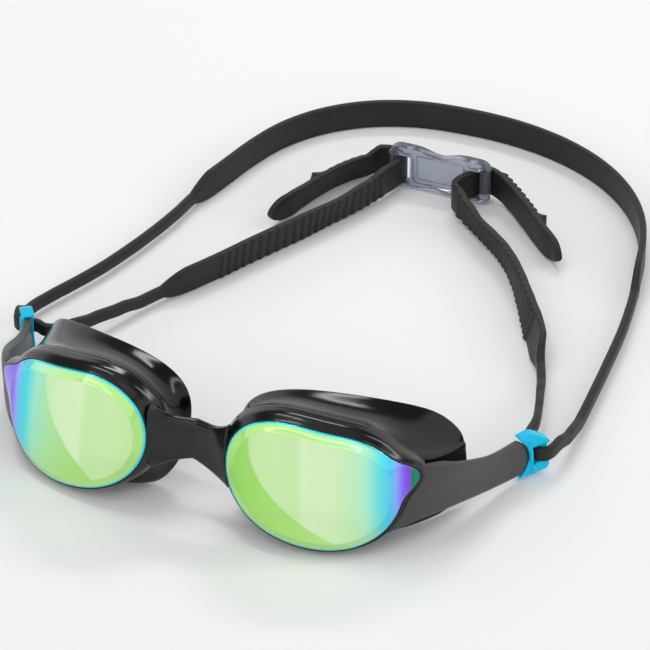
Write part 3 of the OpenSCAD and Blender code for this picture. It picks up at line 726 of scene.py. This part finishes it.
# %% [markdown]
# ## Arms
# An arm is a stiff curved plate. It starts square against the rim round the lens's tip
# and twists down to the clip. Its outer face is a sheet of curves, and the inner face is
# the same sheet one thickness in. Each curve across the sheet is a Bezier from the rim to
# the clip, so the arm leaves the rim and meets the clip in the right directions.

# %% Arm sheet
# angles are degrees: round the lens for the arm's root, from the X axis for the rest
ARM_T, ARM_H, ARM_BULGE, ARM_END_X, ARM_END_Y = 2.6, 13.4, 3.2, 81.0, 57.0
CLIP_ANGLE, CLIP_T, CLIP_H, CLIP_BAR_AT, CLIP_BAR_R = 53.0, 3.4, 15.8, 8.9, 1.3
ARM_TOP_ANGLE, ARM_LOW_ANGLE, ARM_LOW_Z, ARM_EXIT = 9.0, -38.0, 1.2, 64.0
ARM_FRONT_REACH, ARM_END_REACH, ARM_RISE = 16.0, 15.0, 0.35
ARM_START_N = -0.7       # height at which it leaves the rim
END_R = (ARM_H ** 2 / 4 + ARM_BULGE ** 2) / (2 * ARM_BULGE)
END_HALF = math.degrees(math.asin(ARM_H / 2 / END_R))
CLIP_OUT = Vector((sind(CLIP_ANGLE), -cosd(CLIP_ANGLE), 0))
CLIP_ALONG = Vector((cosd(CLIP_ANGLE), sind(CLIP_ANGLE), 0))


def bezier(a, b, c, d, t):
    s = 1 - t
    return s ** 3 * a + 3 * s * s * t * b + 3 * s * t * t * c + t ** 3 * d


def arm_start(p):
    """A place on the edge that lies against the rim, one fit gap away."""
    t = lerp(ARM_TOP_ANGLE, ARM_LOW_ANGLE, p)
    return edge_point(t, lip_edge(t) + FIT, ARM_START_N)


def arm_leave(p):
    t = lerp(ARM_TOP_ANGLE, ARM_LOW_ANGLE, p)
    r = edge_r(t, RIM_OUT)
    u, v = r * cosd(t), r * sind(t)
    return (eye_point(u + 1, v, 0) - eye_point(u, v, 0)).normalized()


def arm_end(p):
    phi = lerp(END_HALF, -END_HALF, p)
    return (Vector((ARM_END_X, ARM_END_Y - MID_Y, ARM_LOW_Z + ARM_H / 2 + END_R * sind(phi)))
            + CLIP_OUT * CLIP_T / 2 + CLIP_ALONG * END_R * (cosd(phi) - cosd(END_HALF)))


def arm_outer(s, p):
    a, d = arm_start(p), arm_end(p)
    exit_way = Vector((cosd(ARM_EXIT), sind(ARM_EXIT), 0))
    return bezier(a, a + (arm_leave(p) + Vector((0, 0, ARM_RISE * p))) * ARM_FRONT_REACH,
                  d - exit_way * ARM_END_REACH, d, s)


def arm_normal(s, p):
    e = 0.02             # a short step over the sheet
    a, b = min(s, 1 - e), min(p, 1 - e)
    here = arm_outer(a, b)
    return (arm_outer(a, b + e) - here).cross(arm_outer(a + e, b) - here).normalized()


rim_front = (eye_point(0, 0, 1) - eye_point(0, 0, 0)).normalized()


def arm_in(s, p):
    """The way into the plate: straight back at the rim, square to the sheet further on."""
    return -(rim_front.lerp(arm_normal(s, p), min(1, 3 * s))).normalized()


print("arm reach:", round((arm_end(0.5) - arm_start(0.5)).length, 1), "mm")

# %% [markdown]
# The sections across the arm are rounded strips. The upper edge has a small bevel and the
# lower one a larger, softer one, as the plate thins out there.

# %% Arms
ARM_ALONG, ARM_ACROSS = 40, 20
TOP_EDGE, LOW_EDGE = [0.45, 0.12], [0.1, 0.35, 0.75, 1.25]      # how far in each line is


def arm_rings():
    """Sections across the arm from rim to clip, each a rounded strip."""
    flat_lines = ARM_ACROSS + 1 - len(TOP_EDGE) - len(LOW_EDGE)
    edge_in = TOP_EDGE + [0.0] * flat_lines + LOW_EDGE
    rings = []
    for i in range(ARM_ALONG + 1):
        s = i / ARM_ALONG
        outer = [arm_outer(s, j / ARM_ACROSS) for j in range(ARM_ACROSS + 1)]
        ways = [arm_in(s, j / ARM_ACROSS) for j in range(ARM_ACROSS + 1)]
        front = [q + w * e for q, w, e in zip(outer, ways, edge_in)]
        rear = [q + w * (ARM_T - e) for q, w, e in zip(outer, ways, edge_in)]
        rings.append(front + rear[::-1])
    return rings


for name, node, side in (("ArmLeft", "arm_left", LEFT), ("ArmRight", "arm_right", RIGHT)):
    piece = make_object(name, *loft([mirrored(r, side) for r in arm_rings()]), arm_plastic)
    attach(piece, "goggles")
    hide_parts(node)
print("arms made")

# %% [markdown]
# ## Clips
# A clip is a small plate with a slot and a round bar for the strap, moulded on to the
# arm along a curved seam. Boxes and cylinders are cut from each other, and then a voxel
# remesh with a little smoothing rounds every edge, as bevels on cut faces often fail.

# %% Solid helpers


def box_part(low, high):
    xs, ys, zs = zip(low, high)
    vertices = [Vector((x, y, z)) for x in xs for y in ys for z in zs]
    faces = [(0, 1, 3, 2), (4, 6, 7, 5), (0, 4, 5, 1), (2, 3, 7, 6), (0, 2, 6, 4), (1, 5, 7, 3)]
    return vertices, faces


def prism_part(outline, low, high, axis="Y"):
    """A prism along an axis: the outline is x and z for Y, x and y for Z."""
    def point(a, b, d):
        return Vector((a, d, b)) if axis == "Y" else Vector((a, b, d))
    count = len(outline)
    vertices = [point(a, b, low) for a, b in outline] + [point(a, b, high) for a, b in outline]
    faces = [(i, (i + 1) % count, count + (i + 1) % count, count + i) for i in range(count)]
    return vertices, faces + [tuple(range(count)), tuple(range(2 * count - 1, count - 1, -1))]


def circle_points(x, y, r, count=48):
    return [(x + r * cosd(360 * k / count), y + r * sind(360 * k / count)) for k in range(count)]


def turn_of(a, b, c):
    """Above zero where the path a, b, c turns left."""
    return (b[0] - a[0]) * (c[1] - a[1]) - (b[1] - a[1]) * (c[0] - a[0])


def hull_points(circles):
    """The outline of a tight band round some circles."""
    points = sorted({(round(x, 5), round(y, 5)) for c in circles for x, y in circle_points(*c)})

    def half(seq):
        chain = []
        for p in seq:
            while len(chain) > 1 and turn_of(*chain[-2:], p) <= 0:
                chain.pop()
            chain.append(p)
        return chain[:-1]
    return half(points) + half(points[::-1])


def applied(piece):
    """Turns a piece's modifiers into its mesh."""
    bpy.context.view_layer.update()
    graph = bpy.context.evaluated_depsgraph_get()
    final = bpy.data.meshes.new_from_object(piece.evaluated_get(graph))
    piece.modifiers.clear()
    piece.data = final


def cut(piece, part, operation="DIFFERENCE"):
    tool = make_object("Tool", *part, piece.data.materials[0])
    step = piece.modifiers.new("Cut", "BOOLEAN")
    step.operation, step.object, step.solver = operation, tool, "EXACT"
    applied(piece)
    bpy.data.objects.remove(tool)


def mould(piece, voxel, rounds):
    """Remeshes a piece in voxels and smooths it, so that its parts flow together."""
    material = piece.data.materials[0]
    remesh = piece.modifiers.new("Remesh", "REMESH")
    remesh.mode, remesh.voxel_size = "VOXEL", voxel * MM
    remesh.use_smooth_shade = True
    soften = piece.modifiers.new("Soften", "SMOOTH")
    soften.factor, soften.iterations = 0.5, rounds
    applied(piece)
    piece.data.shade_smooth()
    piece.data.materials.clear()
    piece.data.materials.append(material)
    return piece


print("solid helpers ready")

# %% Clips
CLIP_LOW, SLOT_H, SLOT_FRONT = 5.0, 5.8, 4.5
RIDGE_R, RIDGE_LEAN, RIDGE_SHORT = 0.9, math.radians(-12), 4.2
CLIP_VOXEL, CLIP_ROUNDS = 0.16, 8
OVERRUN = 0.5            # how far a bar runs into the solid at each end of its slot
clip_outline = hull_points([                         # a band round circles: x, height, radius
    (0.9, ARM_LOW_Z + ARM_H - 0.5, 1.2), (3.7, CLIP_H - 3, 3.0),
    (CLIP_BAR_AT - 0.7, CLIP_LOW + SLOT_H, 2.3), (CLIP_BAR_AT, 3.2, 1.6),
    (0.8, ARM_LOW_Z + 0.9, 1.0)])


def make_clip(name):
    slot_x, slot_top = CLIP_BAR_AT - SLOT_FRONT, CLIP_LOW + SLOT_H
    piece = make_object(name, *prism_part(clip_outline, -CLIP_T / 2, CLIP_T / 2), clip_plastic)
    vertices, faces = prism_part(circle_points(0, 0, RIDGE_R, 32), 0, CLIP_H - RIDGE_SHORT, "Z")
    stand = Matrix.Rotation(RIDGE_LEAN, 4, "Y")
    foot = Vector((slot_x + RIDGE_R, -CLIP_T / 2, 2))
    cut(piece, ([stand @ v + foot for v in vertices], faces), "UNION")
    seam = circle_points(-END_R * cosd(END_HALF), ARM_LOW_Z + ARM_H / 2, END_R + FIT, 160)
    cut(piece, prism_part(seam, -2 * CLIP_T, 2 * CLIP_T))
    cut(piece, box_part((slot_x, -2 * CLIP_T, CLIP_LOW),
                        (slot_x + 2 * SLOT_FRONT, 2 * CLIP_T, slot_top)))
    cut(piece, prism_part(circle_points(CLIP_BAR_AT, 0, CLIP_BAR_R), CLIP_LOW - OVERRUN,
                          slot_top + OVERRUN, "Z"), "UNION")
    return mould(piece, CLIP_VOXEL, CLIP_ROUNDS)


for name, node, side in (("ClipLeft", "clip_left", LEFT), ("ClipRight", "clip_right", RIGHT)):
    piece = make_clip(name)
    turn = (Matrix.Translation(place(ARM_END_X, ARM_END_Y, 0))
            @ Matrix.Rotation(math.radians(CLIP_ANGLE), 4, "Z"))
    piece.data.transform(Matrix.Scale(side, 4, (1, 0, 0)) @ turn)
    if side == RIGHT:
        piece.data.flip_normals()
    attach(piece, "goggles")
    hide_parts(node)
print("clip faces:", len(piece.data.polygons))

# %% [markdown]
# ## Strap
# The strap is one moulded rubber band: wide behind the head, narrow through the clips,
# and ribbed where the buckle grips it. It is swept along one route, cut into the model's
# pieces where a body moves. A curve object with a bevel could carry a plain strap, but a
# sweep in code lets the height, thickness and lean change from point to point.

# %% Strap sizes
STRAP_T, BAND_H, NARROW_H, NARROW_T = 2.2, 10.0, 4.2, 2.8
RIB_PITCH, RIB_H, BAR_GAP = 3.4, 0.9, 0.25
RUN_Z, STRAP_Z = 3.8, BAND_H / 2
CLIP_STRAP_Z = CLIP_LOW + SLOT_H / 2
BUCKLE_L, BUCKLE_T, PLATE_T, BUCKLE_BAR_R = 36.6, 4.0, 2.2, 1.9
BUCKLE_X, BUCKLE_Y, LOW_RAIL, TOP_RAIL, WAIST, SEAT = -1.4, 200.0, 1.6, 3.2, 1.7, 0.2
BUCKLE_STRAP_Z = LOW_RAIL + SEAT + BAND_H / 2
TURN_R = CLIP_BAR_R + BAR_GAP + STRAP_T / 2
FOLD_R = BUCKLE_BAR_R + BAR_GAP + STRAP_T / 2
BAR_AT = BUCKLE_L / 2 - BUCKLE_BAR_R
LEFT_BAR, RIGHT_BAR = (BUCKLE_X + BAR_AT, BUCKLE_Y), (BUCKLE_X - BAR_AT, BUCKLE_Y)
CLIP_X = ARM_END_X + CLIP_BAR_AT * cosd(CLIP_ANGLE)
CLIP_Y = ARM_END_Y + CLIP_BAR_AT * sind(CLIP_ANGLE)
LEFT_CLIP, RIGHT_CLIP = (CLIP_X, CLIP_Y), (-CLIP_X, CLIP_Y)
print("left bars at", [[round(c, 1) for c in bar] for bar in (LEFT_CLIP, LEFT_BAR)])

# %% [markdown]
# The route is a list of points on the table, seen from above, from one tail's tip to the
# other's. Each also holds the strap's section there: the height of its middle line, its
# own height, its thickness, and how far it leans for each millimetre of height.

# %% Route
WIDE, BUCKLED = (STRAP_Z, BAND_H, STRAP_T, 0), (BUCKLE_STRAP_Z, BAND_H, STRAP_T, 0)
NARROW, LOW = (CLIP_STRAP_Z, NARROW_H, STRAP_T, 0), (RUN_Z, NARROW_H, NARROW_T, 0)
PLAIN, RIBBED = 0, 1
TALL, RIB = 3, 6         # where a route point holds the strap's height, and plain or ribbed


def leaning(values, lean):
    return values[:3] + (lean,)


def arc(centre, r, start, stop, count):
    turns = [lerp(start, stop, k / count) for k in range(count + 1)]
    return [(centre[0] + r * cosd(t), centre[1] + r * sind(t)) for t in turns]


def by(centre, *steps):
    return [(centre[0] + x, centre[1] + y) for x, y in steps]


def level(points, start, stop=None, rib=PLAIN):
    """Route points whose section goes evenly from one to another."""
    last = max(1, len(points) - 1)
    return [(x, y, *(lerp(a, b, k / last) for a, b in zip(start, stop or start)), rib)
            for k, (x, y) in enumerate(points)]


ROUTE = [
    ("tail_left", level([(52.7, 169.5), (50.2, 172.7), (45, 177.5)], WIDE)
        + level([(39.4, 183.3), (33.2, 189.6), (26.3, 196.1), (19.5, 201.4)],
                WIDE, BUCKLED, RIBBED)),
    ("fold_left", level(arc(LEFT_BAR, FOLD_R, 75, 155, 4), BUCKLED)),
    ("leg_left", level(by(LEFT_BAR, (-4.4, -1.8), (-6.8, -6.4), (-7, -10)), BUCKLED)
        + level([(11.5, 186.2), (17.5, 181), (24.5, 175)], BUCKLED, leaning(WIDE, 0.3), RIBBED)
        + level([(31, 169.5), (37.4, 163), (44.2, 154), (49.8, 145), (55.4, 135.5), (60, 127.5)],
                leaning(WIDE, 0.25), leaning(WIDE, -0.3), RIBBED)
        + level([(63.9, 120.2)], leaning(WIDE, -0.32)) + level([(68.6, 110.4)], LOW)),
    ("inner_run_left", level([(71.6, 103), (74.2, 95), (77.4, 85), (79.9, 75.5)], LOW, NARROW)
        + level(by(LEFT_CLIP, (-6.1, 3.9), (-4.6, -0.8)), NARROW)),
    ("turn_left", level(arc(LEFT_CLIP, TURN_R, 260, 345, 4), NARROW)),
    ("outer_run_left", level(by(LEFT_CLIP, (3.5, 4.4), (4, 11.9)) + [(89.8, 88)], NARROW, LOW)
        + level([(88.6, 104), (87.2, 120), (85.1, 140)], LOW)),
    ("band", level([(81.6, 160.5)], LOW)
        + level([(79.2, 171), (76, 184.5), (70.5, 198.5), (62, 211.5), (50, 223.2), (34, 232.6),
                 (13, 238.6), (-7, 239.6), (-25, 237.3), (-40, 231), (-53, 220), (-62, 205.5),
                 (-66.5, 191), (-69.3, 176), (-70.9, 167.5)], WIDE)
        + level([(-73.1, 157.2)], LOW)),
    ("outer_run_right", level([(-73.8, 147), (-75.7, 132.5), (-78.5, 118), (-81.6, 105.5),
                               (-85.2, 94.7), (-88.8, 84.8)], LOW)
        + level(by(RIGHT_CLIP, (-4.9, 11.5), (-4, 2.9)), LOW, NARROW)),
    ("turn_right", level(arc(RIGHT_CLIP, TURN_R, 195, 280, 4), NARROW)),
    ("inner_run_right", level(by(RIGHT_CLIP, (1.2, -2.45), (4.4, -1), (8, -2.2), (11.4, -1)),
                              NARROW)
        + level([(-71.8, 67.3), (-68.2, 75.4), (-64, 86), (-60.6, 94.2)], NARROW, LOW)),
    ("leg_right", level([(-57.3, 101.6)], LOW) + level([(-51.6, 111.1)], leaning(WIDE, 0.15))
        + level([(-46.7, 121.2), (-41.5, 133), (-32.1, 153)], leaning(WIDE, 0.15), rib=RIBBED)
        + level([(-25.7, 167.1), (-20.1, 179.8), (-17, 188.5)],
                leaning(WIDE, 0.25), BUCKLED, RIBBED)
        + level(by(RIGHT_BAR, (2.5, -6)), BUCKLED)),
    ("fold_right", level(arc(RIGHT_BAR, FOLD_R, -10, 95, 5), BUCKLED)),
    ("tail_right", level([(-23, 202.3)], BUCKLED, rib=RIBBED)
        + level([(-28.3, 197.6), (-33.6, 189), (-37, 179.6)],
                leaning(WIDE, -0.35), leaning(WIDE, -0.3), RIBBED)
        + level([(-39, 172.6), (-41, 165.4)], leaning(WIDE, -0.25), leaning(WIDE, -0.15))
        + level([(-43, 159.6), (-44.2, 156)], WIDE))]
STOPS = {"tail_left": (39.4, 183.3), "tail_right": (-37, 179.6)}   # the tails' stops
points = [p for _, piece in ROUTE for p in piece]
TIPS = {"tail_left": points[0], "tail_right": points[-1]}
print("route points:", len(points))

# %% [markdown]
# The route is smooth because each point has a direction from its two neighbours, and the
# stretch between two points is a Hermite curve.

# %% Curve between the points


def flat(p):
    return Vector((p[0], p[1]))


def way(k):
    """The direction at point k, taken from both neighbours, the nearer one counting more."""
    a, b, c = (flat(points[min(len(points) - 1, max(0, j))]) for j in (k - 1, k, k + 1))
    before, after = max(0.01, (b - a).length), max(0.01, (c - b).length)
    return ((b - a) / before * after + (c - b) / after * before).normalized()


def widens(a, b):
    return abs(a[TALL] - b[TALL]) > 1


def hermite(k, t):
    """Place, way, and the four section values, part way t from point k to the next."""
    a, b = points[k], points[k + 1]
    gap = (flat(b) - flat(a)).length
    c = t * t * (3 - 2 * t)
    at = (flat(a).lerp(flat(b), c)
          + gap * (t * (1 - t) ** 2 * way(k) - t * t * (1 - t) * way(k + 1)))
    to = ((flat(b) - flat(a)) * 6 * t * (1 - t)
          + gap * ((1 - t) * (1 - 3 * t) * way(k) + t * (3 * t - 2) * way(k + 1)))
    z, tall, thick, lean = (lerp(a[i], b[i], c) for i in (2, 3, 4, 5))
    if widens(a, b):     # a rounded shoulder, steep on its narrow side
        share = math.sqrt(c) if b[TALL] > a[TALL] else 1 - math.sqrt(1 - c)
        tall = lerp(a[TALL], b[TALL], share)
    return at, to.normalized(), z, tall, thick, lean


chords = [(flat(a) - flat(b)).length for a, b in zip(points, points[1:])]
print("strap length: about", round(sum(chords)), "mm")

# %% [markdown]
# A section is a rounded rectangle, and the ribs push its outer face out in a saw-tooth,
# so each tooth can catch the buckle's bar. A ribbed stretch takes eight sections a tooth.
# Near each tail's end a taller fin stops the strap from slipping out of the buckle.

# %% Sections, ribs and stops
TOOTH = [                # place along the tooth, share of its height
    (0.0, 0.0), (0.06, 0.1), (0.14, 0.8), (0.22, 1.0), (0.4, 0.86), (0.6, 0.6), (0.8, 0.28),
    (0.93, 0.05)]
RIB_SHARE = {"tail_right": 0.3, "leg_right": 0.6}    # stretches whose ribs are lower
CORNER = [(0.0, 1.0), (0.13, 0.52), (0.32, 0.25), (0.6, 0.07), (1.0, 0.0)]   # a quarter round
CORNER_R, ROUNDER, MOST_ROUND = 0.6, 1.1, 0.95       # thicker stretches have rounder corners
STOP_H, STOP_RUN, STOP_TOP, STOP_DROP = 2.6, 3.4, 0.8, 0.9
TIP_LENGTH, TIP_BLUNT = 13.0, 0.12       # over which a tail's end rounds off
STEP, FINE_STEP = 1.2, 0.35              # between sections


def section(at, to, z, tall, thick, lean, rib):
    side = Vector((to.y, -to.x))
    half_t, half_h = thick / 2, tall / 2
    r = min(CORNER_R + ROUNDER * max(0.0, thick - STRAP_T),
            half_t * MOST_ROUND, half_h * MOST_ROUND)
    corner = [(half_t - b * r, half_h - a * r) for a, b in CORNER]
    outline = [(x + rib, y) for x, y in corner] + [(x + rib, -y) for x, y in reversed(corner)]
    outline += [(-x, -y) for x, y in corner] + [(-x, y) for x, y in reversed(corner)]
    leant = [(x + lean * y, y) for x, y in outline]
    return [Vector((at.x + side.x * x, at.y + side.y * x - MID_Y, z + y)) for x, y in leant]


def stop_height(name, at):
    """The fin near a tail's end: a hollow slope up towards the tip, then a drop."""
    if name not in STOPS:
        return 0.0
    stop, tip = Vector(STOPS[name]), flat(TIPS[name])
    along = (at - stop).dot((tip - stop).normalized())
    if -STOP_RUN < along <= STOP_TOP:
        return STOP_H * ((along + STOP_RUN) / (STOP_TOP + STOP_RUN)) ** 2
    past_top = max(0.0, along - STOP_TOP)
    return STOP_H * max(0.0, 1 - past_top / STOP_DROP) if past_top else 0.0


def strap_rings(name, first, last):
    rings, rib_h = [], RIB_H * RIB_SHARE.get(name, 1.0)
    for k in range(first, last):
        gap = (flat(points[k + 1]) - flat(points[k])).length
        if points[k][RIB] == points[k + 1][RIB] == RIBBED:
            teeth = round(gap / RIB_PITCH)
            steps = [((i + s) / teeth, h) for i in range(teeth) for s, h in TOOTH]
        else:
            fine = name in STOPS or widens(points[k], points[k + 1])
            count = max(2, math.ceil(gap / (FINE_STEP if fine else STEP)))
            steps = [(i / count, 0.0) for i in range(count)]
        steps += [(1.0, 0.0)] if k == last - 1 else []
        for t, tooth in steps:
            at, to, z, tall, thick, lean = hermite(k, t)
            if name in TIPS:
                left_over = (at - flat(TIPS[name])).length + TIP_BLUNT
                tall *= math.sqrt(1 - max(0.0, 1 - left_over / TIP_LENGTH) ** 2)
            rib = max(tooth * rib_h, stop_height(name, at))
            rings.append(section(at, to, z, tall, thick, lean, rib))
    return rings


print("teeth have", len(TOOTH), "sections")

# %% [markdown]
# A piece that ends on two bodies only has its place baked into its mesh; the table lists
# those bodies and where a blend would start and end. The others ride on one body. The
# whole strap is made once for its normals, which the pieces share, so that no cut shows.

# %% Strap pieces
BLENDS = {               # the two bodies, and the places where the blend starts and ends
    "leg_left": ("goggles", "buckle", (68.6, 110.4), (10, 190)),
    "inner_run_left": ("turn_left", "goggles", *by(LEFT_CLIP, (-0.5, -2.6)), (77.4, 85)),
    "outer_run_left": ("turn_left", "goggles", *by(LEFT_CLIP, (3.5, 4.4)), (88.6, 104)),
    "outer_run_right": ("goggles", "turn_right", (-84, 98), *by(RIGHT_CLIP, (-4, 2.9))),
    "inner_run_right": ("turn_right", "goggles", *by(RIGHT_CLIP, (1.2, -2.45)), (-68.2, 75.4)),
    "leg_right": ("goggles", "buckle", (-51.6, 111.1), (-17, 188.5)),
    "tail_left": ("tail_left", "buckle", (33.2, 189.6), (19.5, 201.4)),
    "tail_right": ("buckle", "tail_right", (-23, 202.3), (-33.6, 189))}
RIDES = {"fold_left": "buckle", "fold_right": "buckle", "band": "goggles",
         "turn_left": "turn_left", "turn_right": "turn_right"}


def shade_from_whole(piece, whole, offset, count):
    """Gives a piece the whole strap's normals, so that no joint between pieces shows."""
    normals = []
    for face in piece.data.polygons:
        cap = max(face.vertices) >= count
        normals += [face.normal.copy() if cap else whole[offset + v] for v in face.vertices]
    piece.data.normals_split_custom_set(normals)


rings_of, start = {}, 0
for name, piece_points in ROUTE:
    stop = min(len(points) - 1, start + len(piece_points))
    rings_of[name] = strap_rings(name, start, stop)
    start += len(piece_points)
whole_rings = [ring for name, _ in ROUTE for ring in rings_of[name][:-1]]
whole_rings.append(rings_of["tail_right"][-1])
whole = make_object("Whole strap", *loft(whole_rings), strap_rubber)
whole_normals = [v.normal.copy() for v in whole.data.vertices]
bpy.data.objects.remove(whole)
offset = 0
for name, _ in ROUTE:
    title = "Strap" + "".join(word.capitalize() for word in name.split("_"))
    rings = rings_of[name]
    piece = make_object(title, *loft(rings), strap_rubber)
    shade_from_whole(piece, whole_normals, offset, len(rings) * len(rings[0]))
    offset += (len(rings) - 1) * len(rings[0])
    if name in BLENDS:
        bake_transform(piece)
    else:
        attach(piece, RIDES[name])
    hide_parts("strap_" + name)
print("strap rings:", len(whole_rings))

# %% [markdown]
# ## Buckle
# The ladder buckle is one clear smoky moulding: two rounded lobes joined by a waist, a
# slot and a round bar at each end, and a thinner plate in the middle. It is cut from
# solids and moulded like the clips. The clear plastic is a transmitting shader with a
# smoky tint and a little roughness, as a fully clear one would vanish on a pale table.

# %% Buckle
SLOT_TOP = LOW_RAIL + BAND_H + 2 * SEAT
BUCKLE_H = SLOT_TOP + TOP_RAIL
CROSS_X = BAR_AT - BUCKLE_BAR_R - 2 * STRAP_T
PLATE_X, PLATE_LOW = CROSS_X - 1.5, LOW_RAIL + 1     # the thin plate's half width and foot
LOBE_R = 4.0
smoky, _, shader, _ = surfaced("Smoky clear plastic", (0.40, 0.43, 0.52),
                               roughness=0.08, grain_scale=1200.0, tone_change=0.2)
shader.inputs["Transmission Weight"].default_value = 0.85
shader.inputs["IOR"].default_value = 1.45
DIP_STEPS, CORNER_STEPS = 24, 8
BUCKLE_VOXEL, BUCKLE_ROUNDS = 0.2, 16


def buckle_outline():
    """Two rounded lobes, with a smooth dip between them above and below."""
    across = [2 * k / DIP_STEPS - 1 for k in range(DIP_STEPS + 1)]
    dip = [(PLATE_X * s, WAIST * (1 + cosd(180 * s)) / 2) for s in across]
    turns = [90 * k / CORNER_STEPS for k in range(CORNER_STEPS + 1)]
    corner = [(LOBE_R * sind(t), LOBE_R * (1 - cosd(t))) for t in turns]
    reach = BUCKLE_L / 2 - LOBE_R
    low = [(-reach - x, z) for x, z in reversed(corner)] + [(x, z / 2) for x, z in dip]
    low += [(reach + x, z) for x, z in corner]
    top = [(reach + x, z) for x, z in reversed(corner)] + list(reversed(dip))
    top += [(-reach - x, z) for x, z in corner]
    return low + [(x, BUCKLE_H - z) for x, z in top]


def make_buckle(name):
    outline = prism_part(buckle_outline(), -BUCKLE_T / 2, BUCKLE_T / 2)
    piece = make_object(name, *outline, smoky)
    for s in (1, -1):
        xs = sorted((s * CROSS_X, s * (CROSS_X + BUCKLE_L)))
        ys = sorted((s * PLATE_T / 2, s * (PLATE_T / 2 + BUCKLE_T)))
        bar = circle_points(s * BAR_AT, 0, BUCKLE_BAR_R)
        cut(piece, box_part((xs[0], -BUCKLE_T, LOW_RAIL), (xs[1], BUCKLE_T, SLOT_TOP)))
        cut(piece, box_part((-PLATE_X, ys[0], PLATE_LOW), (PLATE_X, ys[1], SLOT_TOP)))
        cut(piece, prism_part(bar, LOW_RAIL - OVERRUN, SLOT_TOP + OVERRUN, "Z"), "UNION")
    return mould(piece, BUCKLE_VOXEL, BUCKLE_ROUNDS)


buckle = make_buckle("Buckle")
buckle.data.transform(Matrix.Translation(place(BUCKLE_X, BUCKLE_Y, 0)))
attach(buckle, "buckle")
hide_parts("buckle")
print("buckle faces:", len(buckle.data.polygons))

# %% [markdown]
# ## Table and light
# The goggles lie on a plain pale table. A soft lamp behind and two long narrow ones draw
# the bright streaks on the black rubber, and a wide one at the front fills the shadows.
# The surroundings are white near the horizon, where the mirrored lenses look, dim above
# that, so that black rubber stays black, and half bright overhead. Lamps alone would
# leave the lenses with nothing to mirror.

# %% Floor
floor_material, _, shader = new_material("Pale table")
shader.inputs["Base Color"].default_value = (0.9, 0.905, 0.905, 1)
shader.inputs["Roughness"].default_value = 0.8
shader.inputs["Specular IOR Level"].default_value = 0.2
FLOOR_SIZE, FLOOR_GAP = 6, 0.0002        # metres; the gap keeps it clear of the goggles
bpy.ops.mesh.primitive_plane_add(size=FLOOR_SIZE, location=(0, 0, -FLOOR_GAP))
floor = bpy.context.object
floor.name = "Table"
floor.data.materials.append(floor_material)
print("table:", [round(side, 1) for side in floor.dimensions])

# %% Lamps and world
SOFTBOXES = [            # name, place, target, width and length, watts
    ("Top softbox", (-0.12, 0.55, 0.75), (0, -0.08, 0), (0.36, 0.10), 1.5),
    ("Side strip", (0.75, 0.35, 0.6), (0, -0.05, 0), (0.10, 0.6), 1.4),
    ("Overhead strip", (-0.25, 0.0, 1.0), (0, -0.05, 0), (0.04, 0.5), 1.5),
    ("Front fill", (0.1, -0.9, 0.95), (0, 0, 0), (2.2, 1.0), 5.6)]
SKY_STOPS = [            # sine of the height above the horizon, level
    (0.0, 1.0), (0.44, 1.0), (0.54, 0.2), (0.78, 0.2), (0.92, 0.6), (1.0, 0.6)]
SKY_STRENGTH = 1.08


def softbox(name, centre, target, size, power):
    data = bpy.data.lights.new(name, "AREA")
    data.shape, data.energy = "RECTANGLE", power
    data.size, data.size_y = size
    lamp = bpy.data.objects.new(name, data)
    bpy.context.collection.objects.link(lamp)
    lamp.location = centre
    lamp.rotation_euler = (Vector(target) - Vector(centre)).to_track_quat("-Z", "Y").to_euler()


for softbox_values in SOFTBOXES:
    softbox(*softbox_values)
world = bpy.data.worlds.new("Studio")
bpy.context.scene.world = world
world.use_nodes = True
sky = world.node_tree
direction = sky.nodes.new("ShaderNodeTexCoord")
split = sky.nodes.new("ShaderNodeSeparateXYZ")
sky.links.new(direction.outputs["Generated"], split.inputs[0])
level_out = ramp(sky, split.outputs["Z"], [(p, (q, q, q)) for p, q in SKY_STOPS])
sky.links.new(level_out, sky.nodes["Background"].inputs["Color"])
sky.nodes["Background"].inputs["Strength"].default_value = SKY_STRENGTH
